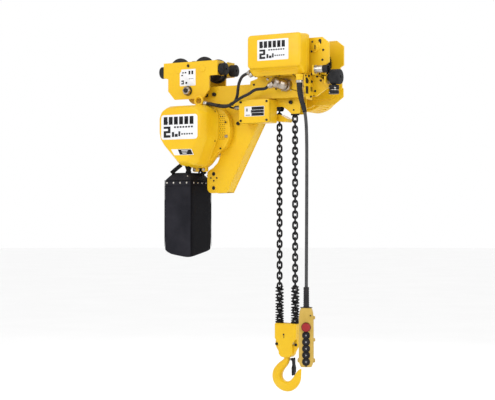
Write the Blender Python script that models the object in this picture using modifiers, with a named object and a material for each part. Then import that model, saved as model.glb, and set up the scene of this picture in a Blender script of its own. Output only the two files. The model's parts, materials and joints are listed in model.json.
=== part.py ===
"""Low-headroom electric chain hoist on a two-trolley carriage, as an assembly of separate parts.

Metres, +Z up. The origin is on the wheel tread plane (the top of the beam's lower flange), at the
middle of the beam's web. +X runs along the beam and the pendant hangs on the -Y side.
"""
import math

import bmesh
import bpy
from mathutils import Matrix, Vector

# ---- driving dimensions -------------------------------------------------------------------
GAP = 0.0003                  # clearance between pieces that touch
BORE_GAP = 0.0006             # clearance between a shaft and its bore, on the radius
BOLT_HEAD = (0.0185, 0.014)   # radius and thickness of the cross shaft's heads
STEEL_PLATE = 0.006           # frame plates
FRAME_HALF_GAP = 0.028        # inner face of each frame plate
TROLLEY_INNER = 0.068         # inner face of each trolley plate
TROLLEY_PLATE = 0.010

TREAD_R = 0.0475              # wheels
WHEEL_FLANGE_R = 0.057
GEAR_R = 0.060
PINION_R = 0.025
TREAD_Y = (0.030, 0.0555)
FLANGE_Y = (0.0560, 0.0655)
HUB_R = 0.018

IDLE_X = -0.263               # idle trolley
IDLE_WHEEL_X = 0.066
IDLE_SHAFT = (-0.275, -0.052)
DRIVE_X = 0.255               # drive trolley
DRIVE_WHEEL_X = 0.085
MOTOR_AXIS = (0.255, -0.058)
MOTOR_R = 0.100

CHAIN_R = 0.0135              # envelope of the load chain
CHAIN_DEAD_X = 0.168
CHAIN_LIVE_X = 0.248
GUIDE_PITCH_R = 0.031
GUIDE_AXIS = (CHAIN_LIVE_X - GUIDE_PITCH_R, -0.085)
LOAD_PITCH_R = 0.0388
LOAD_AXIS = (-0.215, -0.245)
TIE_AXIS = (0.085, -0.055)
SHAFT_R = 0.012
ANCHOR_Z = -0.150

BLOCK_X = (CHAIN_DEAD_X + CHAIN_LIVE_X) / 2
BLOCK_SHEAVE_Z = -1.185
BLOCK_PITCH_R = (CHAIN_LIVE_X - CHAIN_DEAD_X) / 2
BLOCK_TOP = -1.119
BLOCK_HALF_Y = 0.025
BLOCK_SLOT_Y = 0.0165
SPRING_Z = (-1.1185, -0.952)
SPRING_R = (0.0150, 0.0195)
HOOK_HEAD_Z = -1.2410

PENDANT = (0.408, -0.200)
PENDANT_TURN = math.radians(25)
PENDANT_Z = (-1.285, -1.030)
PENDANT_SIZE = (0.0615, 0.050)
BUTTON_Z = (-1.1480, -1.1763, -1.2046, -1.2329, -1.2612)
BUTTON_WORDS = ("up", "down", "left", "right", "start")
BUTTON_R = 0.0125
STOP_Z = -1.1130
STOP_R = 0.0185
BUTTON_POCKET = 0.012
CABLE_R = 0.0072

YELLOW = (0.90, 0.55, 0.02, 1)
PALE_YELLOW = (0.72, 0.44, 0.04, 1)
BLACK = (0.02, 0.02, 0.022, 1)
STEEL = (0.45, 0.45, 0.46, 1)
FABRIC = (0.03, 0.03, 0.035, 1)
RED = (0.55, 0.03, 0.04, 1)


# ---- scene set-up -------------------------------------------------------------------------
for old in list(bpy.data.objects):
    bpy.data.objects.remove(old, do_unlink=True)

PARTS = bpy.data.collections.new("chain_hoist")
CUTTERS = bpy.data.collections.new("cutters")
for made in (PARTS, CUTTERS):
    bpy.context.scene.collection.children.link(made)


def material(name, colour, roughness, metallic):
    made = bpy.data.materials.new(name)
    made.use_nodes = True
    shader = made.node_tree.nodes["Principled BSDF"]
    shader.inputs["Base Color"].default_value = colour
    shader.inputs["Roughness"].default_value = roughness
    shader.inputs["Metallic"].default_value = metallic
    return made


def dress(obj, colour, roughness=0.4, metallic=0.0):
    """Gives a part a material of its own, named after it."""
    obj.data.materials.clear()
    obj.data.materials.append(material(obj.name + "_finish", colour, roughness, metallic))
    return obj


# ---- modelling helpers --------------------------------------------------------------------
def link(name, data, collection=PARTS):
    obj = bpy.data.objects.new(name, data)
    collection.objects.link(obj)
    return obj


def from_bmesh(name, bm, collection=PARTS, smooth=False):
    mesh = bpy.data.meshes.new(name)
    bmesh.ops.recalc_face_normals(bm, faces=bm.faces)
    bm.to_mesh(mesh)
    bm.free()
    if smooth:
        mesh.shade_smooth()
        mesh.set_sharp_from_angle(angle=math.radians(35))
    return link(name, mesh, collection)


def bevelled(obj, width, segments=2):
    edge = obj.modifiers.new("Rounded edges", "BEVEL")
    edge.width = width
    edge.segments = segments
    edge.limit_method = "ANGLE"
    edge.angle_limit = math.radians(40)
    return obj


def box(name, low, high, bevel=0.0, collection=PARTS):
    """A block between two corners, with its origin at its centre."""
    low, high = Vector(low), Vector(high)
    bm = bmesh.new()
    bmesh.ops.create_cube(bm, size=1.0)
    bmesh.ops.scale(bm, vec=high - low, verts=bm.verts)
    obj = from_bmesh(name, bm, collection)
    obj.location = (low + high) / 2
    if bevel:
        bevelled(obj, bevel)
    return obj


def arc(centre, radius, start, end, count):
    """Points on an arc, from one angle to another in degrees."""
    steps = [math.radians(start + (end - start) * k / (count - 1)) for k in range(count)]
    return [(centre[0] + radius * math.cos(a), centre[1] + radius * math.sin(a)) for a in steps]


def rounded(low, high, radius, count=4):
    """A rectangle's outline with rounded corners."""
    corners = [
        ((high[0] - radius, high[1] - radius), 0),
        ((low[0] + radius, high[1] - radius), 90),
        ((low[0] + radius, low[1] + radius), 180),
        ((high[0] - radius, low[1] + radius), 270),
    ]
    return [p for centre, turn in corners for p in arc(centre, radius, turn, turn + 90, count)]


def as_mesh(obj):
    """Turns a curve object into a mesh object with its caps welded."""
    bpy.context.view_layer.update()
    graph = bpy.context.evaluated_depsgraph_get()
    mesh = bpy.data.meshes.new_from_object(obj.evaluated_get(graph))
    bm = bmesh.new()
    bm.from_mesh(mesh)
    bmesh.ops.remove_doubles(bm, verts=bm.verts, dist=0.00001)
    bmesh.ops.recalc_face_normals(bm, faces=bm.faces)
    bm.to_mesh(mesh)
    bm.free()
    name, place, home = obj.name, obj.matrix_world.copy(), obj.users_collection[0]
    bpy.data.objects.remove(obj, do_unlink=True)
    made = link(name, mesh, home)
    made.name = name
    made.matrix_world = place
    return made


def plate(name, outline, y_low, y_high, holes=(), bevel=0.0, collection=PARTS):
    """A flat outline in the XZ plane, with round holes (x, z, radius), between two Y planes."""
    curve = bpy.data.curves.new(name, "CURVE")
    curve.dimensions = "2D"
    curve.fill_mode = "BOTH"
    curve.extrude = (y_high - y_low) / 2
    loops = [outline] + [arc(h[:2], h[2], 0, 345, 24) for h in holes]
    for points in loops:
        spline = curve.splines.new("POLY")
        spline.points.add(len(points) - 1)
        spline.use_cyclic_u = True
        for place, (x, z) in zip(spline.points, points):
            place.co = (x, z, 0, 1)
    obj = link(name, curve, collection)
    obj.rotation_euler = (math.pi / 2, 0, 0)
    obj.location = (0, (y_low + y_high) / 2, 0)
    obj = as_mesh(obj)
    if bevel:
        bevelled(obj, bevel)
    return obj


def turned(name, profile, at, axis="Y", closed=False, steps=28, collection=PARTS):
    """A profile of (radius, height) points, top to bottom, turned about an axis through a point."""
    mesh = bpy.data.meshes.new(name)
    edges = [(k, k + 1) for k in range(len(profile) - 1)]
    if closed:
        edges.append((len(profile) - 1, 0))
    mesh.from_pydata([(r, 0, h) for r, h in profile], edges, [])
    obj = link(name, mesh, collection)
    screw = obj.modifiers.new("Turned", "SCREW")
    screw.steps = steps
    screw.render_steps = steps
    screw.use_merge_vertices = True
    screw.merge_threshold = 0.00001
    screw.use_smooth_shade = True
    turns = {"X": (0, math.pi / 2, 0), "Y": (-math.pi / 2, 0, 0), "Z": (0, 0, 0)}
    obj.rotation_euler = turns[axis]
    obj.location = at
    return obj


def rod(name, radius, start, end, sides=24, collection=PARTS):
    """A round bar between two points, with its origin at its middle."""
    start, end = Vector(start), Vector(end)
    bm = bmesh.new()
    bmesh.ops.create_cone(
        bm, cap_ends=True, segments=sides, radius1=radius, radius2=radius, depth=(end - start).length
    )
    obj = from_bmesh(name, bm, collection, smooth=True)
    obj.rotation_mode = "QUATERNION"
    obj.rotation_quaternion = (end - start).to_track_quat("Z", "Y")
    obj.location = (start + end) / 2
    return obj


def loft(name, rings, thickness=0.0, collection=PARTS):
    """Joins rings of equal point counts; the last is filled, the first too if it is a solid."""
    bm = bmesh.new()
    made = [[bm.verts.new(p) for p in ring] for ring in rings]
    count = len(rings[0])
    for a, b in zip(made, made[1:]):
        for k in range(count):
            m = (k + 1) % count
            bm.faces.new((a[k], a[m], b[m], b[k]))
    bm.faces.new(made[-1])
    if not thickness:
        bm.faces.new(list(reversed(made[0])))
    obj = from_bmesh(name, bm, collection)
    if thickness:
        wall = obj.modifiers.new("Wall", "SOLIDIFY")
        wall.thickness = thickness
        wall.offset = -1
        wall.use_even_offset = False
    return obj


def ring_at(points, y, inset=0.0):
    """An XZ outline at a Y plane, drawn in towards its middle by an inset."""
    mid = Vector((sum(p[0] for p in points), sum(p[1] for p in points))) / len(points)
    made = []
    for p in points:
        away = Vector(p) - mid
        size = away.length
        made.append((*(mid + away * (size - inset) / size), y))
    return [(x, y, z) for x, z, y in made]


def smooth_route(points, count):
    """Points spaced evenly by parameter on a Catmull-Rom curve through the given ones."""
    ends = [[2 * a - b for a, b in zip(points[0], points[1])]]
    tail = [[2 * a - b for a, b in zip(points[-1], points[-2])]]
    line = ends + [list(p) for p in points] + tail
    made = []
    for k in range(count):
        t = k / (count - 1) * (len(points) - 1)
        i = min(int(t), len(points) - 2)
        u = t - i
        a, b, c, d = line[i: i + 4]
        made.append(
            [
                0.5 * (2 * q + (r - p) * u + (2 * p - 5 * q + 4 * r - s) * u**2
                       + (3 * q - p - 3 * r + s) * u**3)
                for p, q, r, s in zip(a, b, c, d)
            ]
        )
    return made


def tube(name, route, radius, resolution=2, collection=PARTS):
    """A tube along (x, y, z) or (x, y, z, radius) points."""
    curve = bpy.data.curves.new(name, "CURVE")
    curve.dimensions = "3D"
    curve.bevel_depth = 1.0 if len(route[0]) == 4 else radius
    curve.bevel_resolution = resolution
    curve.use_fill_caps = True
    spline = curve.splines.new("POLY")
    spline.points.add(len(route) - 1)
    for place, p in zip(spline.points, route):
        place.co = (*p[:3], 1)
        place.radius = p[3] if len(p) == 4 else 1.0
    return link(name, curve, collection)


def hang(name, at, pieces, parent=None):
    """Puts an empty on a joint's axis and parents the pieces that move on that joint to it."""
    pivot = link(name, None)
    pivot.empty_display_size = 0.02
    pivot.location = at
    for piece in pieces:
        member = bpy.data.objects[piece]
        member.parent = pivot
        member.matrix_parent_inverse = Matrix.Translation(-Vector(at))
    if parent:
        pivot.parent = parent
        pivot.matrix_parent_inverse = Matrix.Translation(-parent.location)
    return pivot


def cut(obj, cutter, operation="DIFFERENCE"):
    """Cuts another solid from a part, or joins it on. The other solid stays as a hidden guide."""
    step = obj.modifiers.new(operation.title(), "BOOLEAN")
    step.operation = operation
    step.object = cutter
    cutter.hide_render = True
    cutter.display_type = "WIRE"
    return obj


# ---- frame under the beam -----------------------------------------------------------------
LEG_TOP = (0.115, -0.142)
LEG_FOOT = (-0.092, -0.528)


def frame_outline():
    left_end = arc((-0.264, -0.073), 0.039, 270, 90, 9)
    foot = arc((-0.172, -0.505), 0.0245, 270, 180, 5)
    arch = [(0.246, -0.1765), (0.2255, -0.158), (0.201, -0.1425)]
    hug = [(-0.1965, -0.432), (-0.188, -0.424), (-0.165, -0.412), (-0.140, -0.388), (-0.122, -0.350)]
    return (
        [(0.290, -0.034), (0.290, -0.170), (0.2835, -0.1765)] + arch
        + [LEG_TOP, LEG_FOOT] + foot + hug + [(-0.150, -0.250), (-0.150, -0.112)] + left_end
    )


def frame_plates():
    holes = [
        (*IDLE_SHAFT, SHAFT_R + BORE_GAP),
        (*TIE_AXIS, SHAFT_R + BORE_GAP),
        (*GUIDE_AXIS, SHAFT_R + BORE_GAP),
        (-0.161, -0.4400, 0.0095),
        (-0.161, -0.5055, 0.0095),
    ]
    near = (-FRAME_HALF_GAP - STEEL_PLATE, -FRAME_HALF_GAP)
    far = (FRAME_HALF_GAP, FRAME_HALF_GAP + STEEL_PLATE)
    for name, (low, high) in (("frame_plate_near", near), ("frame_plate_far", far)):
        dress(plate(name, frame_outline(), low, high, holes), YELLOW)


def frame_web():
    """The strip that closes the slanted front of the leg between its two plates."""
    along = (Vector(LEG_FOOT) - Vector(LEG_TOP)).normalized()
    inward = Vector((along.y, -along.x))
    a = Vector(LEG_TOP) + along * 0.004 + inward * 0.001
    b = Vector(LEG_FOOT) - along * 0.004 + inward * 0.001
    outline = [a, b, b + inward * 0.006, a + inward * 0.006]
    half = FRAME_HALF_GAP - GAP
    dress(plate("frame_web", [tuple(p) for p in outline], -half, half), YELLOW)


def shafts():
    reach = TROLLEY_INNER - GAP
    for name, (x, z) in (("tie_shaft", TIE_AXIS), ("sheave_axle", GUIDE_AXIS)):
        dress(rod(name, SHAFT_R, (x, -reach, z), (x, reach, z)), STEEL, 0.3, 1.0)
    head = TROLLEY_INNER + TROLLEY_PLATE + GAP
    wide, thick = BOLT_HEAD
    profile = [
        (0, head + thick), (wide, head + thick), (wide, head), (SHAFT_R, head),
        (SHAFT_R, -head), (wide, -head), (wide, -head - thick), (0, -head - thick),
    ]
    shaft = turned("idle_cross_shaft", profile, (IDLE_SHAFT[0], 0, IDLE_SHAFT[1]))
    dress(shaft, STEEL, 0.35, 1.0)


def sheave(name, at, pitch_r, flange_r, half_width, bore_r=0.0):
    """A grooved chain wheel whose groove clears the chain's round envelope."""
    root = pitch_r - CHAIN_R - 0.001
    lip = CHAIN_R + 0.0007
    rim = [(flange_r, half_width), (flange_r, lip), (root, lip), (root, -lip), (flange_r, -lip),
           (flange_r, -half_width)]
    if bore_r:
        profile = [(bore_r, half_width)] + rim + [(bore_r, -half_width)]
        return turned(name, profile, at, closed=True)
    return turned(name, [(0, half_width)] + rim + [(0, -half_width)], at)


def sheaves():
    place = (GUIDE_AXIS[0], 0, GUIDE_AXIS[1])
    guide = sheave("guide_sheave", place, GUIDE_PITCH_R, 0.043, 0.0265, SHAFT_R + BORE_GAP)
    dress(guide, STEEL, 0.4, 1.0)
    load = sheave("load_sheave", (LOAD_AXIS[0], 0, LOAD_AXIS[1]), LOAD_PITCH_R, 0.050, 0.0265)
    dress(load, STEEL, 0.4, 1.0)


# ---- trolleys -----------------------------------------------------------------------------
def wheel(name, x, side, geared=False):
    """A flanged wheel with a stub hub; side is -1 near and +1 far. Geared ones carry a gear ring."""
    rim = GEAR_R if geared else WHEEL_FLANGE_R
    profile = [
        (0, TROLLEY_INNER - 0.0008), (HUB_R, TROLLEY_INNER - 0.0008), (HUB_R, FLANGE_Y[1]),
        (rim, FLANGE_Y[1]), (rim, FLANGE_Y[0]), (TREAD_R, TREAD_Y[1]), (TREAD_R, TREAD_Y[0]),
        (0, TREAD_Y[0]),
    ]
    if side < 0:
        profile = [(r, -h) for r, h in reversed(profile)]
    dress(turned(name, profile, (x, 0, TREAD_R)), BLACK, 0.45, 0.6)


def wheels():
    for side, word in ((-1, "near"), (1, "far")):
        for step, end in ((-1, "left"), (1, "right")):
            wheel(f"idle_wheel_{word}_{end}", IDLE_X + step * IDLE_WHEEL_X, side)
            wheel(f"drive_wheel_{word}_{end}", DRIVE_X + step * DRIVE_WHEEL_X, side, side > 0)


def idle_outline():
    """The T-shaped side plate of the idle trolley."""
    top, left_arm, right_arm = 0.083, 0.0135, 0.0150
    return [
        (-0.4110, top), (-0.4110, left_arm), (-0.3860, 0.0080), (-0.3860, -0.0500),
        (-0.3500, -0.0905), (-0.1930, -0.0905), (-0.1600, -0.0495), (-0.1600, 0.0120),
        (-0.1530, 0.0145), (-0.1150, right_arm), (-0.1150, top),
    ]


def idle_trolley():
    hole = [(*IDLE_SHAFT, SHAFT_R + BORE_GAP)]
    for side, word in ((-1, "near"), (1, "far")):
        low, high = sorted((side * TROLLEY_INNER, side * (TROLLEY_INNER + TROLLEY_PLATE)))
        body = plate(f"idle_plate_{word}", idle_outline(), low, high, hole)
        for x_low, x_high, end in ((-0.4106, -0.4030, "left"), (-0.1230, -0.1154, "right")):
            y_low, y_high = sorted((side * 0.020, side * (TROLLEY_INNER + 0.004)))
            tab = box(f"idle_tab_{word}_{end}", (x_low, y_low, 0.0152), (x_high, y_high, 0.0828),
                      collection=CUTTERS)
            cut(body, tab, "UNION")
        dress(body, YELLOW)
    for x_low, x_high, end in ((-0.4400, -0.4113, "left"), (-0.1147, -0.0860, "right")):
        puck = rod(f"idle_buffer_{end}", 0.0275, (x_low, -0.047, 0.043), (x_high, -0.047, 0.043))
        dress(bevelled(puck, 0.002), BLACK, 0.7)


def drive_outline(right):
    """A drive plate's outline, out to the given X at its lower right."""
    return [
        (0.4240, 0.1520), (0.4570, 0.1260), (0.4570, 0.0400), (0.4400, 0.0300), (0.4400, -0.0120),
        (right, -0.0220), (right, -0.0640), (0.3950, -0.1080), (0.0480, -0.1080),
        (0.0600, -0.0250), (0.0950, -0.0150), (0.1150, 0.0300), (0.1150, 0.1300), (0.1400, 0.1520),
    ]


def drive_trolley():
    near = plate("drive_plate_near", drive_outline(0.4666), -TROLLEY_INNER - TROLLEY_PLATE, -TROLLEY_INNER)
    folds = (
        ("box_bracket", (0.3715, -0.1035, -0.1070), (0.3775, -0.0720, -0.0015)),
        ("inlet_ear", (0.4110, -0.1480, -0.0200), (0.4165, -0.0720, 0.0220)),
        ("buffer_ear", (0.4600, -0.1300, -0.0600), (0.4655, -0.0720, -0.0270)),
    )
    for name, low, high in folds:
        cut(near, box(name, low, high, collection=CUTTERS), "UNION")
    dress(near, YELLOW)
    far = plate("drive_plate_far", drive_outline(0.4480), TROLLEY_INNER, TROLLEY_INNER + TROLLEY_PLATE)
    dress(far, YELLOW)
    puck = rod("drive_buffer", 0.033, (0.4810, -0.101, -0.030), (0.525, -0.101, -0.030))
    bevelled(puck, 0.003)
    stem = rod("buffer_stem", 0.016, (0.4672, -0.101, -0.030), (0.4840, -0.101, -0.030),
               collection=CUTTERS)
    cut(puck, stem, "UNION")
    dress(puck, BLACK, 0.7)


def travel_drive():
    face = TROLLEY_INNER + TROLLEY_PLATE + GAP
    outline = (
        arc(MOTOR_AXIS, 0.088, 200, 340, 11)
        + arc((DRIVE_X, 0.050), 0.055, 0, 180, 9)
    )
    dress(plate("travel_gearcase", outline, face, face + 0.030, bevel=0.004), YELLOW)
    low, high = face + 0.0305, 0.250
    profile = [
        (0, high), (0.070, high), (0.086, high - 0.004), (0.096, high - 0.014),
        (MOTOR_R, high - 0.028), (MOTOR_R, low + 0.010), (MOTOR_R - 0.004, low), (0, low),
    ]
    dress(turned("travel_motor", profile, (MOTOR_AXIS[0], 0, MOTOR_AXIS[1]), steps=36), YELLOW)
    pinion = rod(
        "travel_pinion", PINION_R - GAP,
        (DRIVE_X, FLANGE_Y[0], TREAD_R), (DRIVE_X, TROLLEY_INNER - 0.0008, TREAD_R),
    )
    dress(pinion, STEEL, 0.35, 1.0)


# ---- electrical boxes ---------------------------------------------------------------------
BOX_LOW = (0.1040, -0.0130)
BOX_HIGH = (0.3735, 0.1670)
BOX_BACK = -0.104
BOX_SPLIT = -0.122
BOX_FRONT = -0.187


def control_box():
    tray = plate("control_box", rounded(BOX_LOW, BOX_HIGH, 0.010), BOX_SPLIT, BOX_BACK)
    dress(tray, YELLOW)
    full = rounded(BOX_LOW, BOX_HIGH, 0.010, 5)
    face = rounded((BOX_LOW[0], 0.020), BOX_HIGH, 0.016, 5)
    rings = [
        ring_at(full, BOX_SPLIT - GAP), ring_at(full, -0.146), ring_at(face, BOX_FRONT + 0.009),
        ring_at(face, BOX_FRONT + 0.0025, 0.003), ring_at(face, BOX_FRONT, 0.009),
    ]
    dress(loft("control_cover", rings, thickness=0.0025), YELLOW)


def power_inlet():
    """The mains inlet: a metal shell with a black insulating end."""
    profile = [(0, 0.0620), (0.0170, 0.0620), (0.0170, 0.0390), (0.0155, 0.0380), (0.0155, 0),
               (0, 0)]
    inlet = turned("power_inlet", profile, (0.4168, -0.127, 0.0045), axis="X")
    dress(inlet, STEEL, 0.3, 1.0)


PLUG_FOOT = Vector((0.245, -0.0785, -0.052))
PLUG_WAY = Vector((-0.62, -0.74, 0.22)).normalized()
PLUG_MOUTH = PLUG_FOOT + Vector((0, -0.0175, 0)) + PLUG_WAY * 0.056
PLUG_LEAD = Vector((-0.78, -0.20, -0.42)).normalized()


def motor_plug():
    """The angled connector on the drive trolley's plate that the motor lead plugs into."""
    foot = rod("motor_plug", 0.0285, PLUG_FOOT, PLUG_FOOT + Vector((0, -0.018, 0)))
    start = PLUG_FOOT + Vector((0, -0.0175, 0))
    body = rod("plug_body", 0.0215, start, PLUG_MOUTH, collection=CUTTERS)
    neck = rod(
        "plug_neck", 0.0105, PLUG_MOUTH - PLUG_WAY * 0.012,
        PLUG_MOUTH - PLUG_WAY * 0.012 + PLUG_LEAD * 0.038, 16, CUTTERS,
    )
    cut(foot, body, "UNION")
    cut(foot, neck, "UNION")
    dress(foot, STEEL, 0.3, 1.0)


LIMIT_LOW = (0.0175, -0.2165)
LIMIT_HIGH = (0.1735, -0.1105)


def limit_switch():
    back = -FRAME_HALF_GAP - STEEL_PLATE - GAP
    shell = plate("limit_box", rounded(LIMIT_LOW, LIMIT_HIGH, 0.006), -0.0975, back)
    pocket = box("limit_pocket", (0.0215, -0.110, -0.2125), (0.1695, back - 0.004, -0.1145),
                 collection=CUTTERS)
    dress(cut(shell, pocket), YELLOW)
    lid = plate("limit_lid", rounded(LIMIT_LOW, LIMIT_HIGH, 0.006), -0.110, -0.0985, bevel=0.0015)
    dress(lid, YELLOW)


LEVER_AXIS = (0.1640, -0.1900)


def limit_lever():
    """The fork round the fixed chain fall that the stop spring lifts."""
    outline = [
        (0.1560, -0.1765), (0.1840, -0.1765), (0.2235, -0.1985), (0.2160, -0.2115),
        (0.1703, -0.2080), (0.1560, -0.2000),
    ]
    fork = plate("limit_lever", outline, -0.0262, 0.0262)
    gate = box("lever_gate", (0.120, -0.0162, -0.230), (0.1860, 0.0162, -0.150), collection=CUTTERS)
    dress(cut(fork, gate), YELLOW)


# ---- hoist body ---------------------------------------------------------------------------
COVER_RIM = [
    (-0.3190, -0.1250), (-0.1560, -0.1250), (-0.1300, -0.1380), (-0.1150, -0.1650),
    (-0.1143, -0.2100), (-0.1160, -0.2770), (-0.1630, -0.3830), (-0.1750, -0.4000),
    (-0.1920, -0.4080), (-0.2540, -0.4080), (-0.2700, -0.4000), (-0.3400, -0.3200),
    (-0.3630, -0.2850), (-0.3680, -0.2500), (-0.3680, -0.1850), (-0.3560, -0.1480),
]
COVER_FACE = [
    (-0.3170, -0.1390), (-0.1700, -0.1390), (-0.1480, -0.1480), (-0.1360, -0.1680),
    (-0.1330, -0.2100), (-0.1360, -0.2750), (-0.1900, -0.3560), (-0.1960, -0.3760),
    (-0.2050, -0.3880), (-0.2480, -0.3880), (-0.2620, -0.3780), (-0.3300, -0.3100),
    (-0.3500, -0.2800), (-0.3560, -0.2500), (-0.3560, -0.1850), (-0.3440, -0.1560),
]
CASE = [
    (-0.3300, -0.1240), (-0.1500, -0.1240), (-0.0950, -0.1420), (-0.0600, -0.1850),
    (-0.0520, -0.2300), (-0.0560, -0.2750), (-0.0780, -0.3180), (-0.1230, -0.3450),
    (-0.1660, -0.3950), (-0.1900, -0.4120), (-0.2560, -0.4120), (-0.3450, -0.3300),
    (-0.3720, -0.2770), (-0.3720, -0.1800),
]
CASE_Y = (-0.0700, -0.0345)


def hoist_body():
    rings = [
        ring_at(COVER_RIM, CASE_Y[0] - GAP), ring_at(COVER_RIM, -0.150),
        ring_at(COVER_RIM, -0.184, 0.004), ring_at(COVER_FACE, -0.200),
    ]
    dress(loft("hoist_cover", rings, thickness=0.003), YELLOW)
    dress(plate("hoist_gearcase", CASE, CASE_Y[0], CASE_Y[1], bevel=0.002), YELLOW)
    x, z = -0.225, -0.252
    start, middle, end = -CASE_Y[1], 0.195, 0.245
    motor = [
        (0, middle), (0.098, middle), (0.104, middle - 0.006), (0.104, start + 0.030),
        (0.112, start + 0.022), (0.112, start), (0, start),
    ]
    dress(turned("hoist_motor", motor, (x, 0, z), steps=32), YELLOW)
    cap = [
        (0, end), (0.070, end), (0.092, end - 0.010), (0.106, end - 0.030),
        (0.106, middle + GAP), (0, middle + GAP),
    ]
    dress(turned("hoist_end_cover", cap, (x, 0, z), steps=32), YELLOW)


EYE_AT = (-0.2005, -0.102, -0.0990)
EYE_R = 0.0205
EYE_BAR_R = 0.0045


def eye_bolt():
    """The lifting eye on top of the hoist body."""
    bpy.ops.mesh.primitive_torus_add(
        major_segments=24, minor_segments=8, major_radius=EYE_R, minor_radius=EYE_BAR_R,
        location=EYE_AT, rotation=(math.pi / 2, 0, 0),
    )
    eye = bpy.context.object
    eye.name = "eye_bolt"
    for home in list(eye.users_collection):
        home.objects.unlink(eye)
    PARTS.objects.link(eye)
    eye.data.shade_smooth()
    foot = COVER_RIM[0][1] + GAP
    base = rod("eye_base", 0.010, (*EYE_AT[:2], foot), (*EYE_AT[:2], foot + 0.0087),
               collection=CUTTERS)
    dress(cut(eye, base, "UNION"), YELLOW)


BAG_LOW = (-0.3840, -0.1200, -0.8270)
BAG_HIGH = (-0.2310, 0.0670, -0.4700)


def chain_bag():
    """The open-topped bag that takes the slack chain."""
    mid = ((BAG_LOW[0] + BAG_HIGH[0]) / 2, (BAG_LOW[1] + BAG_HIGH[1]) / 2)
    half = ((BAG_HIGH[0] - BAG_LOW[0]) / 2, (BAG_HIGH[1] - BAG_LOW[1]) / 2)

    def ring(z, inset):
        corners = rounded(
            (mid[0] - half[0] + inset, mid[1] - half[1] + inset),
            (mid[0] + half[0] - inset, mid[1] + half[1] - inset), 0.018, 4,
        )
        return [(x, y, z) for x, y in corners]

    rings = [
        ring(BAG_HIGH[2], 0.0), ring(-0.560, 0.0), ring(-0.780, 0.0), ring(-0.812, 0.004),
        ring(BAG_LOW[2], 0.018),
    ]
    dress(loft("chain_bag", rings, thickness=0.004), FABRIC, 0.9)


# ---- load chain, hook block and hook ------------------------------------------------------
def chain_falls():
    """Round envelopes of the two falls and of the run from the load sheave to the guide sheave."""
    falls = (("chain_live", CHAIN_LIVE_X, GUIDE_AXIS[1]), ("chain_dead", CHAIN_DEAD_X, ANCHOR_Z))
    for name, x, top in falls:
        dress(rod(name, CHAIN_R, (x, 0, BLOCK_SHEAVE_Z), (x, 0, top), 12), BLACK, 0.4, 0.8)
    a, b = Vector(LOAD_AXIS), Vector(GUIDE_AXIS)
    span = (b - a).length
    lean = math.asin((LOAD_PITCH_R - GUIDE_PITCH_R) / span)
    slope = math.atan2(b.y - a.y, b.x - a.x)
    up = Vector((math.cos(slope + math.pi / 2 - lean), math.sin(slope + math.pi / 2 - lean)))
    p, q = a + up * LOAD_PITCH_R, b + up * GUIDE_PITCH_R
    dress(rod("chain_run", CHAIN_R, (p.x, 0, p.y), (q.x, 0, q.y), 12), BLACK, 0.4, 0.8)


def block_outline():
    right = [
        (0.0540, BLOCK_TOP), (0.0540, -1.190), (0.0570, -1.202), (0.0570, -1.222),
        (0.0350, -1.260), (0.0215, -1.270), (0.0040, -1.274),
    ]
    left = [(-x, z) for x, z in reversed(right)]
    return [(BLOCK_X + x, z) for x, z in right + left]


def hook_block():
    room = rod("block_room", 0.0550, (BLOCK_X, -BLOCK_SLOT_Y, BLOCK_SHEAVE_Z),
               (BLOCK_X, BLOCK_SLOT_Y, BLOCK_SHEAVE_Z), 36, CUTTERS)
    slot = box("block_slot", (0.10, -BLOCK_SLOT_Y, BLOCK_SHEAVE_Z), (0.32, BLOCK_SLOT_Y, -1.05),
               collection=CUTTERS)
    head = rod("block_head_room", 0.0180, (BLOCK_X, 0, -1.2530), (BLOCK_X, 0, -1.2300), 24, CUTTERS)
    bore = rod("block_bore", 0.0150, (BLOCK_X, 0, -1.2900), (BLOCK_X, 0, -1.2400), 24, CUTTERS)
    faces = (("near", -BLOCK_HALF_Y, -0.00015), ("far", 0.00015, BLOCK_HALF_Y))
    for word, low, high in faces:
        half = plate(f"block_half_{word}", block_outline(), low, high)
        for cutter in (room, slot, head, bore):
            cut(half, cutter)
        dress(half, YELLOW)
    wheel_place = (BLOCK_X, 0, BLOCK_SHEAVE_Z)
    dress(sheave("block_sheave", wheel_place, BLOCK_PITCH_R, 0.0460, 0.0160), STEEL, 0.4, 1.0)


def stop_springs():
    low, high = SPRING_Z
    inner, outer = SPRING_R
    profile = [(outer, high), (outer, low), (inner, low), (inner, high)]
    for word, x in (("live", CHAIN_LIVE_X), ("dead", CHAIN_DEAD_X)):
        coil = turned(f"stop_spring_{word}", profile, (x, 0, 0), "Z", closed=True, steps=16)
        dress(coil, BLACK, 0.4, 0.8)


def hook():
    bend = [
        (0.000, -1.2655, 0.0128), (-0.001, -1.2800, 0.0138), (-0.011, -1.2970, 0.0170),
        (-0.033, -1.3180, 0.0205), (-0.049, -1.3430, 0.0235), (-0.050, -1.3700, 0.0240),
        (-0.036, -1.3910, 0.0238), (-0.013, -1.4030, 0.0236), (0.011, -1.4030, 0.0230),
        (0.033, -1.3910, 0.0214), (0.0480, -1.3710, 0.0192), (0.0555, -1.3510, 0.0145),
        (0.0620, -1.3350, 0.0092), (0.0670, -1.3265, 0.0048),
    ]
    head = [(0, HOOK_HEAD_Z, 0.0165), (0, HOOK_HEAD_Z - 0.0090, 0.0165),
            (0, HOOK_HEAD_Z - 0.0092, 0.0125)]
    route = head + [tuple(p) for p in smooth_route(bend, 27)]
    shape = tube("hook", [(BLOCK_X + x, 0, z, r) for x, z, r in route], 1.0, 3)
    dress(shape, YELLOW)


LATCH_AXIS = (0.2290, -1.2800)


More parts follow.
